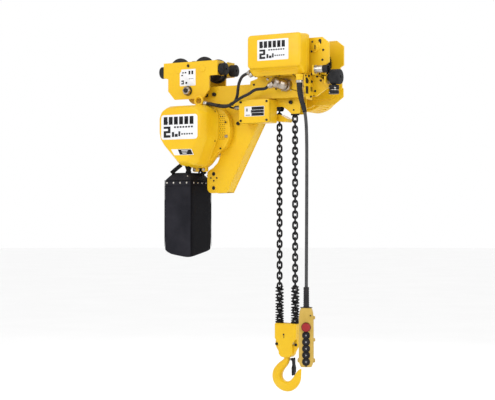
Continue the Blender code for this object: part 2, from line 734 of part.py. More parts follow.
def hook_latch():
    outline = [
        (0.2248, -1.2760), (0.2350, -1.2760), (0.2395, -1.2730), (0.2440, -1.2745),
        (0.2450, -1.3050), (0.2490, -1.3180), (0.2480, -1.3370), (0.2405, -1.3535),
        (0.2345, -1.3535), (0.2335, -1.3200), (0.2370, -1.3040), (0.2355, -1.2870),
        (0.2248, -1.2845),
    ]
    dress(plate("hook_latch", outline, -0.009, 0.009), BLACK, 0.4, 0.6)


# ---- pendant control ----------------------------------------------------------------------
GLAND = (0.3520, -0.1560, -0.0430)
SLEEVE_ROUTE = [
    (*GLAND, 0.0128), (0.3535, -0.1580, -0.0700, 0.0126), (0.3605, -0.1660, -0.1000, 0.0120),
    (0.3730, -0.1770, -0.1300, 0.0114), (0.3880, -0.1880, -0.1600, 0.0106),
    (0.3985, -0.1950, -0.1850, 0.0094),
]
CABLE_ROUTE = [
    (0.3992, -0.1954, -0.1872), (0.4040, -0.1978, -0.2100), (0.4082, -0.1992, -0.2500),
    (0.4104, -0.1998, -0.3200), (0.4108, -0.2000, -0.4200), (0.4104, -0.2000, -0.5400),
    (0.4098, -0.2000, -0.6600), (0.4091, -0.2000, -0.7800), (0.4084, -0.2000, -0.9000),
    (0.4080, -0.2000, -0.9800), (0.4080, -0.2000, PENDANT_Z[1] + GAP),
]


CABLE_WAY = (Vector(CABLE_ROUTE[1]) - Vector(CABLE_ROUTE[0])).normalized()
PENDANT_PIVOT = Vector(CABLE_ROUTE[0]) + CABLE_WAY * CABLE_R


def outward(distance):
    """A point in front of the pendant's axis, on the side its buttons face."""
    return Vector((math.sin(PENDANT_TURN), -math.cos(PENDANT_TURN), 0)) * distance


def pendant_body():
    width, depth = PENDANT_SIZE
    low, high = PENDANT_Z
    body = box("pendant_body", (-width / 2, -depth / 2, low), (width / 2, depth / 2, high), 0.006)
    body.location = (*PENDANT, (low + high) / 2)
    body.rotation_euler = (0, 0, PENDANT_TURN)
    face = depth / 2
    pockets = [(z, BUTTON_R + 0.0007) for z in BUTTON_Z] + [(STOP_Z, 0.0115)]
    for k, (z, radius) in enumerate(pockets):
        middle = Vector((*PENDANT, z))
        hole = rod(f"pendant_pocket_{k}", radius, middle + outward(face - BUTTON_POCKET),
                   middle + outward(face + 0.01), 20, CUTTERS)
        cut(body, hole)
    dress(body, PALE_YELLOW)


def buttons():
    face = PENDANT_SIZE[1] / 2
    for word, z in zip(BUTTON_WORDS, BUTTON_Z):
        middle = Vector((*PENDANT, z))
        knob = rod(f"button_{word}", BUTTON_R, middle + outward(face - BUTTON_POCKET + 0.0045),
                   middle + outward(face + 0.0050), 20)
        dress(knob, BLACK, 0.5)
    inner, outer = face - BUTTON_POCKET + 0.0045, face + 0.0130
    profile = [(0, outer), (0.012, outer), (0.0165, outer - 0.002), (STOP_R, outer - 0.0045),
               (0.0175, face + 0.0052), (0.0105, face + 0.0050), (0.0105, inner), (0, inner)]
    stop = turned("stop_button", profile, (*PENDANT, STOP_Z), steps=24)
    stop.rotation_mode = "QUATERNION"
    stop.rotation_quaternion = outward(1).to_track_quat("Z", "Y")
    dress(stop, RED, 0.35)


def pendant_cable():
    """The cable swings under its sleeve on the ball that its top end is rounded to."""
    sleeve = tube("pendant_sleeve", [tuple(p) for p in smooth_route(SLEEVE_ROUTE, 12)], 1.0, 2)
    dress(sleeve, BLACK, 0.5)
    ball = [
        (*(PENDANT_PIVOT - CABLE_WAY * CABLE_R * math.sin(a)), CABLE_R * math.cos(a))
        for a in map(math.radians, (80, 60, 40, 20, 0))
    ]
    route = [(*p, CABLE_R) for p in smooth_route(CABLE_ROUTE, 36)[1:]]
    dress(tube("pendant_cable", ball + route, 1.0, 2), BLACK, 0.5)


# ---- leads from the hoist -----------------------------------------------------------------
LEAD_R = 0.006
CONTROL_LEAD = [
    (-0.1800, -0.0860, -0.1165), (-0.1500, -0.0900, -0.1175), (-0.1100, -0.0950, -0.1260),
    (-0.0700, -0.0980, -0.1320), (-0.0350, -0.1010, -0.1300), (-0.0050, -0.1060, -0.1150),
    (0.0110, -0.1120, -0.0900), (0.0190, -0.1190, -0.0640), (0.0300, -0.1290, -0.0380),
    (0.0500, -0.1390, -0.0120), (0.0720, -0.1450, -0.0010), (0.0880, -0.1460, 0.0040),
]
MOTOR_LEAD = [
    (-0.1680, -0.1010, -0.1180), (-0.1450, -0.1055, -0.1200), (-0.1100, -0.1080, -0.1290),
    (-0.0700, -0.1110, -0.1370), (-0.0350, -0.1150, -0.1360), (0.0000, -0.1220, -0.1210),
    (0.0400, -0.1260, -0.1020), (0.0800, -0.1270, -0.0870), (0.1150, -0.1280, -0.0700),
]


def hoist_leads():
    end = PLUG_MOUTH - PLUG_WAY * 0.012 + PLUG_LEAD * 0.0400
    before = end + PLUG_LEAD * 0.018
    dress(tube("control_lead", smooth_route(CONTROL_LEAD, 30), LEAD_R, 2), BLACK, 0.5)
    motor = smooth_route(MOTOR_LEAD + [tuple(before), tuple(end)], 30)
    dress(tube("motor_lead", motor, LEAD_R, 2), BLACK, 0.5)


def joints():
    """Empties on the joints' axes, for the pieces that don't turn about their own origins."""
    ends = ("near_left", "near_right", "far_left", "far_right")
    hang("idle_trolley_axis", (IDLE_SHAFT[0], 0, IDLE_SHAFT[1]),
         ["idle_plate_near", "idle_plate_far", "idle_buffer_left", "idle_buffer_right"]
         + [f"idle_wheel_{end}" for end in ends])
    lift = hang("hook_block_axis", (BLOCK_X, 0, BLOCK_TOP),
                ["block_half_near", "block_half_far", "block_sheave", "stop_spring_live",
                 "stop_spring_dead"])
    swivel = hang("hook_axis", (BLOCK_X, 0, HOOK_HEAD_Z), ["hook"], lift)
    hang("hook_latch_axis", (LATCH_AXIS[0], 0, LATCH_AXIS[1]), ["hook_latch"], swivel)
    hang("limit_lever_axis", (LEVER_AXIS[0], 0, LEVER_AXIS[1]), ["limit_lever"])
    hang("pendant_axis", PENDANT_PIVOT,
         ["pendant_cable", "pendant_body", "stop_button"] + [f"button_{word}" for word in BUTTON_WORDS])


def build():
    frame_plates()
    frame_web()
    shafts()
    sheaves()
    wheels()
    idle_trolley()
    drive_trolley()
    travel_drive()
    control_box()
    power_inlet()
    motor_plug()
    limit_switch()
    limit_lever()
    hoist_body()
    eye_bolt()
    chain_bag()
    chain_falls()
    hook_block()
    stop_springs()
    hook()
    hook_latch()
    pendant_body()
    buttons()
    pendant_cable()
    hoist_leads()
    joints()


build()
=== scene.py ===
"""Looks of the chain hoist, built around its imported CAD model. Metres, +Z up, in the CAD model's frame."""
import json
import math

import bmesh
import bpy
from mathutils import Matrix, Vector


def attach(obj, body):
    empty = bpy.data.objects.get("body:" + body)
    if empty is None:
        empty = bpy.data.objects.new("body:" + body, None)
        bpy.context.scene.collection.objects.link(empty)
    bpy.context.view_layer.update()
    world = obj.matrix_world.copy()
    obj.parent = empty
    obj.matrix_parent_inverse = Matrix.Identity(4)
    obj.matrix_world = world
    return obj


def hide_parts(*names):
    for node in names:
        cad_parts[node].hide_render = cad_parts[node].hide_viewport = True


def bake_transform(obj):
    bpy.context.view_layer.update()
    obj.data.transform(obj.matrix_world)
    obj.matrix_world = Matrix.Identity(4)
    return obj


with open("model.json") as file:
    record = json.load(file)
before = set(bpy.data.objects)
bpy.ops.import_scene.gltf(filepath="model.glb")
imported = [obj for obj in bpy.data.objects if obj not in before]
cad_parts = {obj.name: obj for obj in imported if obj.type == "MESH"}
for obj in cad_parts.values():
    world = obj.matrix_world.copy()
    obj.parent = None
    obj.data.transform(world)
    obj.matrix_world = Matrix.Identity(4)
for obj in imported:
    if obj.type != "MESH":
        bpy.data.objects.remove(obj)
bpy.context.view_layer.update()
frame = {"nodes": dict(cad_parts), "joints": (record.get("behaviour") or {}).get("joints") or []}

# ---- sizes and places that the CAD model has too -------------------------------------------
GAP = 0.0003
FRAME_FACE = 0.034            # outer face of each frame plate
PLATE_FACE = 0.078            # outer face of each trolley plate
TREAD_Z = 0.0475
GEAR_PITCH_R = 0.06
PINION_PITCH_R = 0.025
WHEEL_TEETH = 48
PINION_TEETH = 20
GUIDE_AXIS = (0.217, -0.085)
GUIDE_R = 0.031
LOAD_AXIS = (-0.215, -0.245)
LOAD_R = 0.0388
BLOCK_AXIS = (0.208, -1.185)
BLOCK_R = 0.04
DEAD_X = 0.168
LIVE_X = 0.248
ANCHOR_Z = -0.15
PITCH = 0.024                 # load chain
LATCH_AXIS = (0.229, -1.28)
PENDANT = Vector((0.408, -0.2, 0))
PENDANT_TURN = math.radians(25)
PENDANT_SIZE = (0.0615, 0.05)
BUTTON_Z = (-1.148, -1.1763, -1.2046, -1.2329, -1.2612)
STOP_Z = -1.113
CABLE_D = 0.0144
LEAD_R = 0.0068
FLOOR_Z = -1.72

# ---- the chain's links, whose wire is 9 mm, not the 8 mm that the model's scale rests on ------
WIRE_R = 0.0045
LINK_HALF = 0.0095            # from a link's middle to the middle of its wire

# ---- camera ---------------------------------------------------------------------------------
camera = bpy.data.objects.new("camera", bpy.data.cameras.new("camera"))
bpy.context.scene.collection.objects.link(camera)
camera.data.sensor_width = 36.0
camera.data.lens = 94.8
camera.location = (3.0, -5.196, -0.64)
camera.rotation_mode = "QUATERNION"
camera.rotation_quaternion = Vector((-0.5, 0.866, 0.01304)).to_track_quat("-Z", "Y")
bpy.context.scene.camera = camera


# ---- materials ------------------------------------------------------------------------------
def node(tree, kind, inputs=(), **settings):
    """A shader node with its settings, and its inputs as (socket, value or output) pairs."""
    made = tree.nodes.new("ShaderNode" + kind)
    for key, value in settings.items():
        setattr(made, key, value)
    for socket, value in inputs:
        if isinstance(value, bpy.types.NodeSocket):
            tree.links.new(value, made.inputs[socket])
        else:
            made.inputs[socket].default_value = value
    return made


def ramp(tree, value, low, high):
    """Maps a range of a value to 0..1."""
    return node(tree, "MapRange", [("Value", value), (1, low), (2, high)]).outputs[0]


def mixed(tree, share, a, b):
    """Mixes two colours."""
    return node(tree, "Mix", [(0, share), (6, a), (7, b)], data_type="RGBA").outputs[2]


def spread(tree, value, low, high):
    """Maps a value in 0..1 to a range."""
    return node(tree, "MapRange", [("Value", value), (3, low), (4, high)]).outputs[0]


def combined(tree, operation, a, b):
    """One arithmetic step on two values."""
    return node(tree, "Math", [(0, a), (1, b)], operation=operation).outputs[0]


def start(name, roughness, metallic, coat=0.0, specular=0.5):
    """A new material: itself, its node tree, its shader, and the place socket its patterns follow."""
    made = bpy.data.materials.new(name)
    made.use_nodes = True
    tree = made.node_tree
    shader = tree.nodes["Principled BSDF"]
    shader.inputs["Roughness"].default_value = roughness
    shader.inputs["Metallic"].default_value = metallic
    shader.inputs["Coat Weight"].default_value = coat
    shader.inputs["Coat Roughness"].default_value = 0.12
    shader.inputs["Specular IOR Level"].default_value = specular
    place = node(tree, "TexCoord").outputs["Object"]
    return made, tree, shader, place


def noise_of(tree, place, scale, detail=3.0, stretch=(1, 1, 1)):
    """Smooth noise that follows a place socket; stretch draws it out."""
    where = node(tree, "Mapping", [("Vector", place), ("Scale", stretch)]).outputs[0]
    inputs = [("Vector", where), ("Scale", scale), ("Detail", detail)]
    return node(tree, "TexNoise", inputs).outputs[0]


def edge_mask(tree, radius, low, high):
    """Near 1 along a piece's sharp edges, and 0 on its open faces."""
    soft = node(tree, "Bevel", [("Radius", radius)], samples=4).outputs[0]
    true = node(tree, "NewGeometry").outputs["Normal"]
    along = node(tree, "VectorMath", [(0, soft), (1, true)], operation="DOT_PRODUCT")
    return ramp(tree, along.outputs["Value"], low, high)


def bumped(tree, shader, height, strength, distance):
    """Raises a shader's surface by a height pattern."""
    bump = node(tree, "Bump", [("Height", height), ("Strength", strength), ("Distance", distance)])
    tree.links.new(bump.outputs[0], shader.inputs["Normal"])


def paint(name, light, deep, edge, roughness=0.36, coat=0.1):
    """Enamel: slow drift in tone, orange peel, a little dust in its roughness, and thinner edges."""
    made, tree, shader, place = start(name, roughness, 0.0, coat, 0.22)
    drift = ramp(tree, noise_of(tree, place, 9.0, 4.0), 0.35, 0.65)
    tone = mixed(tree, drift, light, deep)
    grime = ramp(tree, noise_of(tree, place, 55.0, 6.0), 0.56, 0.8)
    faint = combined(tree, "MULTIPLY", grime, 0.12)
    tone = mixed(tree, faint, tone, (deep[0] * 0.55, deep[1] * 0.5, deep[2] * 0.5, 1))
    worn = edge_mask(tree, 0.0012, 0.995, 0.93)
    broken = ramp(tree, noise_of(tree, place, 160.0, 3.0), 0.42, 0.62)
    share = combined(tree, "MULTIPLY", worn, broken)
    tone = mixed(tree, share, tone, edge)
    tree.links.new(tone, shader.inputs["Base Color"])
    dull = spread(tree, grime, roughness, roughness + 0.16)
    tree.links.new(dull, shader.inputs["Roughness"])
    bumped(tree, shader, noise_of(tree, place, 420.0, 2.0), 0.1, 0.0006)
    return made


def metal(name, light, deep, roughness, stretch=(1, 1, 1), scale=70.0, metallic=1.0, bump=0.12,
          bright=None, specular=0.5):
    """Machined, plated or oiled metal; stretch draws its grain out along an axis."""
    made, tree, shader, place = start(name, roughness, metallic, specular=specular)
    grain = noise_of(tree, place, scale, 5.0, stretch)
    patches = ramp(tree, noise_of(tree, place, 26.0, 3.0), 0.35, 0.68)
    both = combined(tree, "MULTIPLY", grain, patches)
    tone = mixed(tree, ramp(tree, both, 0.1, 0.55), light, deep)
    if bright:
        rubbed = edge_mask(tree, 0.0011, 0.99, 0.9)
        tone = mixed(tree, rubbed, tone, bright)
    tree.links.new(tone, shader.inputs["Base Color"])
    rough = spread(tree, grain, roughness - 0.08, roughness + 0.14)
    tree.links.new(rough, shader.inputs["Roughness"])
    bumped(tree, shader, noise_of(tree, place, scale * 5, 3.0, stretch), bump, 0.0004)
    return made


def polymer(name, light, deep, roughness, grain=900.0, bump=0.16, coat=0.0, specular=0.22):
    """Moulded plastic or rubber with a spark-eroded grain and faint blooming."""
    made, tree, shader, place = start(name, roughness, 0.0, coat, specular)
    bloom = ramp(tree, noise_of(tree, place, 34.0, 5.0), 0.38, 0.7)
    tree.links.new(mixed(tree, bloom, light, deep), shader.inputs["Base Color"])
    rough = spread(tree, bloom, roughness - 0.05, roughness + 0.1)
    tree.links.new(rough, shader.inputs["Roughness"])
    bumped(tree, shader, noise_of(tree, place, grain, 2.0), bump, 0.0003)
    return made


def weave(name, light, deep, threads, roughness):
    """Plain woven cloth with a coating: warp and weft as crossed waves, and slow creases.
    Faces toward +X carry painted shade: they are drawn darker, whatever the light."""
    made, tree, shader, place = start(name, roughness, 0.0, 0.0, 0.04)
    turn = node(tree, "Mapping", [("Vector", place), ("Rotation", (0, 0, 0.78))]).outputs[0]
    warp, weft = [
        node(tree, "TexWave", [("Vector", where), ("Scale", threads), ("Distortion", 0.6)],
             bands_direction=way).outputs[1]
        for where, way in ((turn, "X"), (place, "Z"))
    ]
    cloth = combined(tree, "MAXIMUM", warp, weft)
    fade = ramp(tree, noise_of(tree, place, 12.0, 4.0), 0.35, 0.7)
    thread = combined(tree, "MULTIPLY", cloth, fade)
    # Painted shade: faces toward +X are mixed toward a darker copy of the cloth's colour, whatever the lamps
    # do.
    facing = node(tree, "SeparateXYZ", [(0, node(tree, "TexCoord").outputs["Normal"])]).outputs["X"]
    painted_side_shade = [*[c * 0.22 for c in light[:3]], 1]
    tone = mixed(tree, ramp(tree, facing, 0.55, 0.85), mixed(tree, thread, deep, light), painted_side_shade)
    tree.links.new(tone, shader.inputs["Base Color"])
    slow = noise_of(tree, place, 30.0, 3.0)
    height = combined(tree, "ADD", cloth, slow)
    bumped(tree, shader, height, 0.35, 0.0008)
    return made


YELLOW = paint("yellow_enamel", (0.76, 0.475, 0.01, 1), (0.735, 0.43, 0.008, 1), (0.85, 0.6, 0.05, 1))
PALE = polymer("pendant_yellow", (0.52, 0.345, 0.072, 1), (0.46, 0.3, 0.052, 1), 0.4, coat=0.08)
BLACK_STEEL = metal(
    "black_oxide", (0.016, 0.015, 0.016, 1), (0.006, 0.006, 0.007, 1), 0.42, metallic=0.55,
    bright=(0.055, 0.052, 0.052, 1), specular=0.25,
)
DARK_IRON = metal("dark_iron", (0.036, 0.034, 0.035, 1), (0.014, 0.013, 0.014, 1), 0.5, metallic=0.6,
                  specular=0.25)
STEEL = metal("machined_steel", (0.44, 0.43, 0.42, 1), (0.22, 0.21, 0.21, 1), 0.32, (1, 12, 1))
ZINC = metal("zinc_plate", (0.58, 0.55, 0.5, 1), (0.3, 0.28, 0.26, 1), 0.26, scale=120.0)
NICKEL = metal("nickel_connector", (0.46, 0.4, 0.34, 1), (0.2, 0.16, 0.13, 1), 0.28, scale=90.0)
RUBBER = polymer("buffer_rubber", (0.018, 0.018, 0.02, 1), (0.008, 0.008, 0.009, 1), 0.66)
SHEATH = polymer("cable_sheath", (0.02, 0.018, 0.02, 1), (0.011, 0.01, 0.011, 1), 0.5)
GREY_CABLE = polymer("pendant_cable", (0.058, 0.058, 0.06, 1), (0.036, 0.036, 0.038, 1), 0.5)
BLACK_PLASTIC = polymer("black_plastic", (0.013, 0.012, 0.014, 1), (0.007, 0.006, 0.007, 1), 0.36)
RED_PLASTIC = polymer("red_plastic", (0.3, 0.018, 0.02, 1), (0.23, 0.011, 0.013, 1), 0.38, coat=0.05)
DARK_RED = polymer("red_guard", (0.12, 0.007, 0.009, 1), (0.08, 0.004, 0.006, 1), 0.44)
PALE_MARK = polymer("pale_mark", (0.34, 0.34, 0.35, 1), (0.25, 0.25, 0.26, 1), 0.45)
WHITE = polymer("label_white", (0.78, 0.78, 0.79, 1), (0.7, 0.7, 0.72, 1), 0.34, bump=0.05)
INK = polymer("label_ink", (0.01, 0.01, 0.012, 1), (0.006, 0.006, 0.008, 1), 0.4, bump=0.05)
# Both weaves carry painted shade on their faces toward +X.
CLOTH = weave("coated_cloth", (0.028, 0.027, 0.034, 1), (0.014, 0.014, 0.018, 1), 420.0, 0.6)
STRAP = weave("webbing", (0.014, 0.014, 0.016, 1), (0.006, 0.006, 0.007, 1), 300.0, 0.72)


USUAL_SLOT = {
    finish.name: slot
    for slot, finishes in {
        "yellow_paint": [YELLOW], "pendant_shell": [PALE], "chain_black": [BLACK_STEEL, DARK_IRON],
        "bright_steel": [STEEL, ZINC], "connector_metal": [NICKEL], "cable_sheath": [SHEATH],
        "buffer_rubber": [RUBBER, BLACK_PLASTIC], "stop_red": [RED_PLASTIC, DARK_RED],
        "bag_fabric": [CLOTH, STRAP],
    }.items()
    for finish in finishes
}


# ---- modelling --------------------------------------------------------------------------------
def link(name, data):
    """A new object in the scene."""
    obj = bpy.data.objects.new(name, data)
    bpy.context.scene.collection.objects.link(obj)
    return obj


def mesh_of(name, bm):
    """A new mesh from a bmesh, with consistent normals and smooth shading."""
    bmesh.ops.recalc_face_normals(bm, faces=bm.faces)
    mesh = bpy.data.meshes.new(name)
    bm.to_mesh(mesh)
    bm.free()
    mesh.shade_smooth()
    return mesh


def piece(name, bm, finish, body="root", slot=None, nodes=(), sharp=32, bevel=0.0):
    """Turns a bmesh into a piece that rides on a body; finish is a material or a list of them.
    The slot, or else the usual slot of its first material, is worked out but not given to the piece."""
    finishes = finish if isinstance(finish, list) else [finish]
    slot = slot or USUAL_SLOT.get(finishes[0].name)
    mesh = mesh_of(name, bm)
    mesh.set_sharp_from_angle(angle=math.radians(sharp))
    for one in finishes:
        mesh.materials.append(one)
    obj = link(name, mesh)
    if bevel:
        soften(obj, bevel)
    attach(obj, body)
    if nodes:
        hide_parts(*nodes)
    return obj


def soften(obj, width, angle=40):
    """Rounds a piece's sharp edges."""
    edge = obj.modifiers.new("Rounded edges", "BEVEL")
    edge.width = width
    edge.segments = 2
    edge.limit_method = "ANGLE"
    edge.angle_limit = math.radians(angle)
    edge.harden_normals = True


def loft(bm, rings, close=False, caps=(True, True), index=0):
    """Joins rings of equal point counts into a skin; close also joins the last ring to the first."""
    made = [[bm.verts.new(p) for p in ring] for ring in rings]
    pairs = list(zip(made, made[1:]))
    if close:
        pairs.append((made[-1], made[0]))
    count = len(rings[0])
    faces = []
    for a, b in pairs:
        for k in range(count):
            m = (k + 1) % count
            faces.append(bm.faces.new((a[k], a[m], b[m], b[k])))
    if not close and caps[0]:
        faces.append(bm.faces.new(list(reversed(made[0]))))
    if not close and caps[1]:
        faces.append(bm.faces.new(made[-1]))
    for face in faces:
        face.material_index = index
    return faces


def frame_at(axis, up=(0, 0, 1)):
    """Two directions across an axis, and the axis itself, each one unit long."""
    w = Vector(axis).normalized()
    u = Vector(up)
    if abs(u.dot(w)) > 0.9:
        u = Vector((1, 0, 0))
    u = (u - w * u.dot(w)).normalized()
    return u, w.cross(u), w


def lathe(bm, profile, at, axis, steps=40, ripple=None, close=False, index=0):
    """Turns (radius, height) points about an axis; ripple changes the radius with the angle."""
    u, v, w = frame_at(axis)
    base = Vector(at)
    rings = []
    for r, h in profile:
        ring = []
        for k in range(steps):
            a = 2 * math.pi * k / steps
            size = ripple(r, a) if ripple else r
            ring.append(base + w * h + u * (size * math.cos(a)) + v * (size * math.sin(a)))
        rings.append(ring)
    return loft(bm, rings, close=close, index=index)


def sweep(bm, path, radius, sides=10, close=False, index=0):
    """A round bar along points; radius is a number or a list with one for each point."""
    path = [Vector(p) for p in path]
    count = len(path)
    sizes = radius if isinstance(radius, list) else [radius] * count
    rings = []
    across = None
    for k, p in enumerate(path):
        after = path[(k + 1) % count] if close or k < count - 1 else p
        before = path[k - 1] if close or k > 0 else p
        way = (after - before).normalized()
        if across is None:
            across = frame_at(way)[0]
        across = (across - way * across.dot(way)).normalized()
        other = way.cross(across)
        turn = around(sides)
        rings.append(
            [p + (across * math.cos(a) + other * math.sin(a)) * sizes[k] for a in turn]
        )
    return loft(bm, rings, close=close, index=index)


def block(bm, low, high, matrix=None, index=0):
    """A rectangular solid between two corners."""
    (a, b, c), (d, e, f) = low, high
    rings = [[Vector(p) for p in ((a, b, z), (d, b, z), (d, e, z), (a, e, z))] for z in (c, f)]
    if matrix:
        rings = [[matrix @ p for p in ring] for ring in rings]
    return loft(bm, rings, index=index)


def around(count):
    """Angles of a full turn, evenly spaced."""
    return [2 * math.pi * k / count for k in range(count)]


def disc(radius, low, high):
    """A plain round bar's profile, for lathe."""
    return [(0, low), (radius, low), (radius, high), (0, high)]


def stud(radius, wall, top_radius, height):
    """A low round stud's profile, for lathe: a straight wall, then a bevel to its flat top."""
    return [(0, 0), (radius, 0), (radius, wall), (top_radius, height), (0, height)]


def span(side, a, b):
    """The lower and the higher of two distances out on a side."""
    return sorted((side * a, side * b))


def arc(centre, radius, start_deg, end_deg, count):
    """Points along an arc, both ends included."""
    steps = [math.radians(start_deg + (end_deg - start_deg) * k / (count - 1)) for k in range(count)]
    return [(centre[0] + radius * math.cos(a), centre[1] + radius * math.sin(a)) for a in steps]


def fillet(points, radius, steps=5):
    """Rounds each corner of a closed outline; radius is a number or a list with one a corner."""
    made = []
    count = len(points)
    for k, p in enumerate(points):
        p = Vector(p)
        a, b = Vector(points[k - 1]) - p, Vector(points[(k + 1) % count]) - p
        r = radius[k] if isinstance(radius, list) else radius
        corner = a.angle(b)
        reach = min(r / math.tan(corner / 2), 0.48 * a.length, 0.48 * b.length)
        start_at, end_at = p + a.normalized() * reach, p + b.normalized() * reach
        for j in range(steps + 1):
            t = j / steps
            made.append(
                tuple(start_at * (1 - t) ** 2 + p * (2 * t * (1 - t)) + end_at * t**2)
            )
    return made


def inset(outline, distance):
    """Moves a closed outline inward along its corner normals."""
    area = sum(a[0] * b[1] - b[0] * a[1] for a, b in zip(outline, outline[1:] + outline[:1]))
    side = 1 if area > 0 else -1
    made = []
    count = len(outline)
    for k, p in enumerate(outline):
        a, b = Vector(outline[k - 1]), Vector(outline[(k + 1) % count])
        way = (b - a).normalized()
        made.append(tuple(Vector(p) + Vector((-way.y, way.x)) * side * distance))
    return made


def round_over(y_back, y_front, radius, steps=5):
    """(y, inset) sections from a back plane to a front one whose front edge is rounded."""
    toward = 1 if y_front > y_back else -1
    turn = [math.pi / 2 * k / steps for k in range(steps + 1)]
    edge = [(y_front - toward * radius * (1 - math.sin(a)), radius * (1 - math.cos(a))) for a in turn]
    return [(y_back, 0.0)] + edge


def standing(outline, y):
    """An XZ outline as a ring at one place along Y."""
    return [Vector((x, y, z)) for x, z in outline]


def side_word(side):
    """The word for a side of the beam in names."""
    return "near" if side < 0 else "far"


def casting(bm, outline, sections, index=0):
    """A solid on an XZ outline, through (y, inset) sections."""
    rings = [standing(inset(outline, d), y) for y, d in sections]
    return loft(bm, rings, index=index)


def both_sides(y_low, y_high, radius, steps=4):
    """Sections of a slab whose two faces have rounded edges."""
    half = round_over((y_low + y_high) / 2, y_high, radius, steps)
    back = round_over((y_low + y_high) / 2, y_low, radius, steps)
    return list(reversed(back[1:])) + half[1:]


def rounded(low, high, radius, steps=6):
    """A rectangle's outline with round corners, anticlockwise."""
    corners = (
        ((high[0] - radius, high[1] - radius), 0), ((low[0] + radius, high[1] - radius), 90),
        ((low[0] + radius, low[1] + radius), 180), ((high[0] - radius, low[1] + radius), 270),
    )
    return [p for centre, turn in corners for p in arc(centre, radius, turn, turn + 90, steps)]


def hex_bolt(bm, at, axis, size, index=0, washer=True, socket=False):
    """A bolt head that stands on a face: size is half the distance across its flats."""
    u, v, w = frame_at(axis)
    at = Vector(at)
    foot = 0.0
    if washer:
        ring = [(0, 0), (size * 1.25, 0), (size * 1.25, size * 0.18), (size * 1.2, size * 0.24),
                (0, size * 0.24)]
        lathe(bm, ring, at, axis, 24, index=index)
        foot = size * 0.22
    height = size * (1.25 if socket else 0.9)
    sides = 24 if socket else 6
    wide = size if socket else size / math.cos(math.pi / 6)
    levels = [(1.0, foot), (1.0, foot + height * 0.82), (0.86, foot + height)]
    if socket:
        levels += [(0.52, foot + height), (0.48, foot + height * 0.45)]
    turn = [2 * math.pi * (k + 0.5) / sides for k in range(sides)]
    rings = [[at + w * h + (u * math.cos(a) + v * math.sin(a)) * wide * r for a in turn]
             for r, h in levels]
    loft(bm, rings, index=index)


def pan_screw(bm, at, axis, radius, index=0):
    """A small round-headed screw with a recess."""
    profile = [
        (0, 0), (radius, 0), (radius * 0.98, radius * 0.25), (radius * 0.75, radius * 0.48),
        (radius * 0.34, radius * 0.58), (radius * 0.28, radius * 0.3), (0, radius * 0.3),
    ]
    lathe(bm, profile, at, axis, 18, index=index)


def smooth_route(points, count):
    """Points on a Catmull-Rom curve through the given ones."""
    ends = [[2 * a - b for a, b in zip(points[0], points[1])]]
    tail = [[2 * a - b for a, b in zip(points[-1], points[-2])]]
    line = ends + [list(p) for p in points] + tail
    made = []
    for k in range(count):
        t = k / (count - 1) * (len(points) - 1)
        i = min(int(t), len(points) - 2)
        u = t - i
        made.append([
            0.5 * (2 * q + (r - p) * u + (2 * p - 5 * q + 4 * r - s) * u**2
                   + (3 * q - p - 3 * r + s) * u**3)
            for p, q, r, s in zip(*line[i: i + 4])
        ])
    return made


# ---- cords: the pendant's cable and its sleeve ----------------------------------------------
GLAND = (0.352, -0.156, -0.043)
SLEEVE_ROUTE = [
    (*GLAND, 0.0128), (0.3535, -0.158, -0.07, 0.0126), (0.3605, -0.166, -0.1, 0.012),
    (0.373, -0.177, -0.13, 0.0114), (0.388, -0.188, -0.16, 0.0106),
    (0.3985, -0.195, -0.185, 0.0094),
]
CABLE_ROUTE = [
    (0.3992, -0.1954, -0.1872), (0.404, -0.1978, -0.21), (0.4082, -0.1992, -0.25),
    (0.4104, -0.1998, -0.32), (0.4108, -0.2, -0.42), (0.4104, -0.2, -0.54),
    (0.4098, -0.2, -0.66), (0.4091, -0.2, -0.78), (0.4084, -0.2, -0.9),
    (0.408, -0.2, -0.98), (0.408, -0.2, -1.0297),
]


def pendant_cable():
    """The pendant's cable, its ribbed sleeve at the frame and its boot at the pendant."""
    line = smooth_route(CABLE_ROUTE, 81)
    curve = bpy.data.curves.new("pendant_cable_cord", "CURVE")
    curve.dimensions = "3D"
    curve.bevel_depth = CABLE_D / 2
    curve.bevel_resolution = 5
    curve.use_fill_caps = True
    spline = curve.splines.new("POLY")
    spline.points.add(len(line) - 1)
    for point, p in zip(spline.points, line):
        point.co = (*p, 1)
    curve.materials.append(GREY_CABLE)
    cord = link("pendant_cable_cord", curve)
    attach(cord, "pendant")
    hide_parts("pendant_cable")
    bm = bmesh.new()
    line4 = smooth_route(SLEEVE_ROUTE, 61)
    path = [p[:3] for p in line4]
    sizes = []
    for k, p in enumerate(line4):
        rib = 0.0009 if (k // 2) % 2 and 6 < k < 54 else 0.0
        sizes.append(p[3] - rib)
    sweep(bm, path, sizes, 20)
    piece("pendant_sleeve_boot", bm, SHEATH, nodes=["pendant_sleeve"])
    bm = bmesh.new()
    foot = Vector(CABLE_ROUTE[-1])
    sizes = [0.013 - 0.00002 * k - (0.0009 if 3 < k < 40 and (k % 4) < 2 else 0.0) for k in range(44)]
    sizes.append(0.0096)
    sweep(bm, [foot + Vector((0, 0, 0.002 * k)) for k in range(45)], sizes, 24)
    boot = piece("pendant_boot", bm, SHEATH, "pendant")


pendant_cable()


# ---- CAD nodes that are shown as they are, with soft edges and real finishes ------------------
def carried(name, finish, bevel):
    """Shows a CAD node as it is, with its corners joined, its edges rounded and a finish."""
    obj = frame["nodes"][name]
    obj.data.materials.clear()
    obj.data.materials.append(finish)
    weld = obj.modifiers.new("Joined corners", "WELD")
    weld.merge_threshold = 0.00001
    flat = obj.modifiers.new("Whole faces", "DECIMATE")
    flat.decimate_type = "DISSOLVE"
    flat.angle_limit = math.radians(0.5)
    soften(obj, bevel, 35)


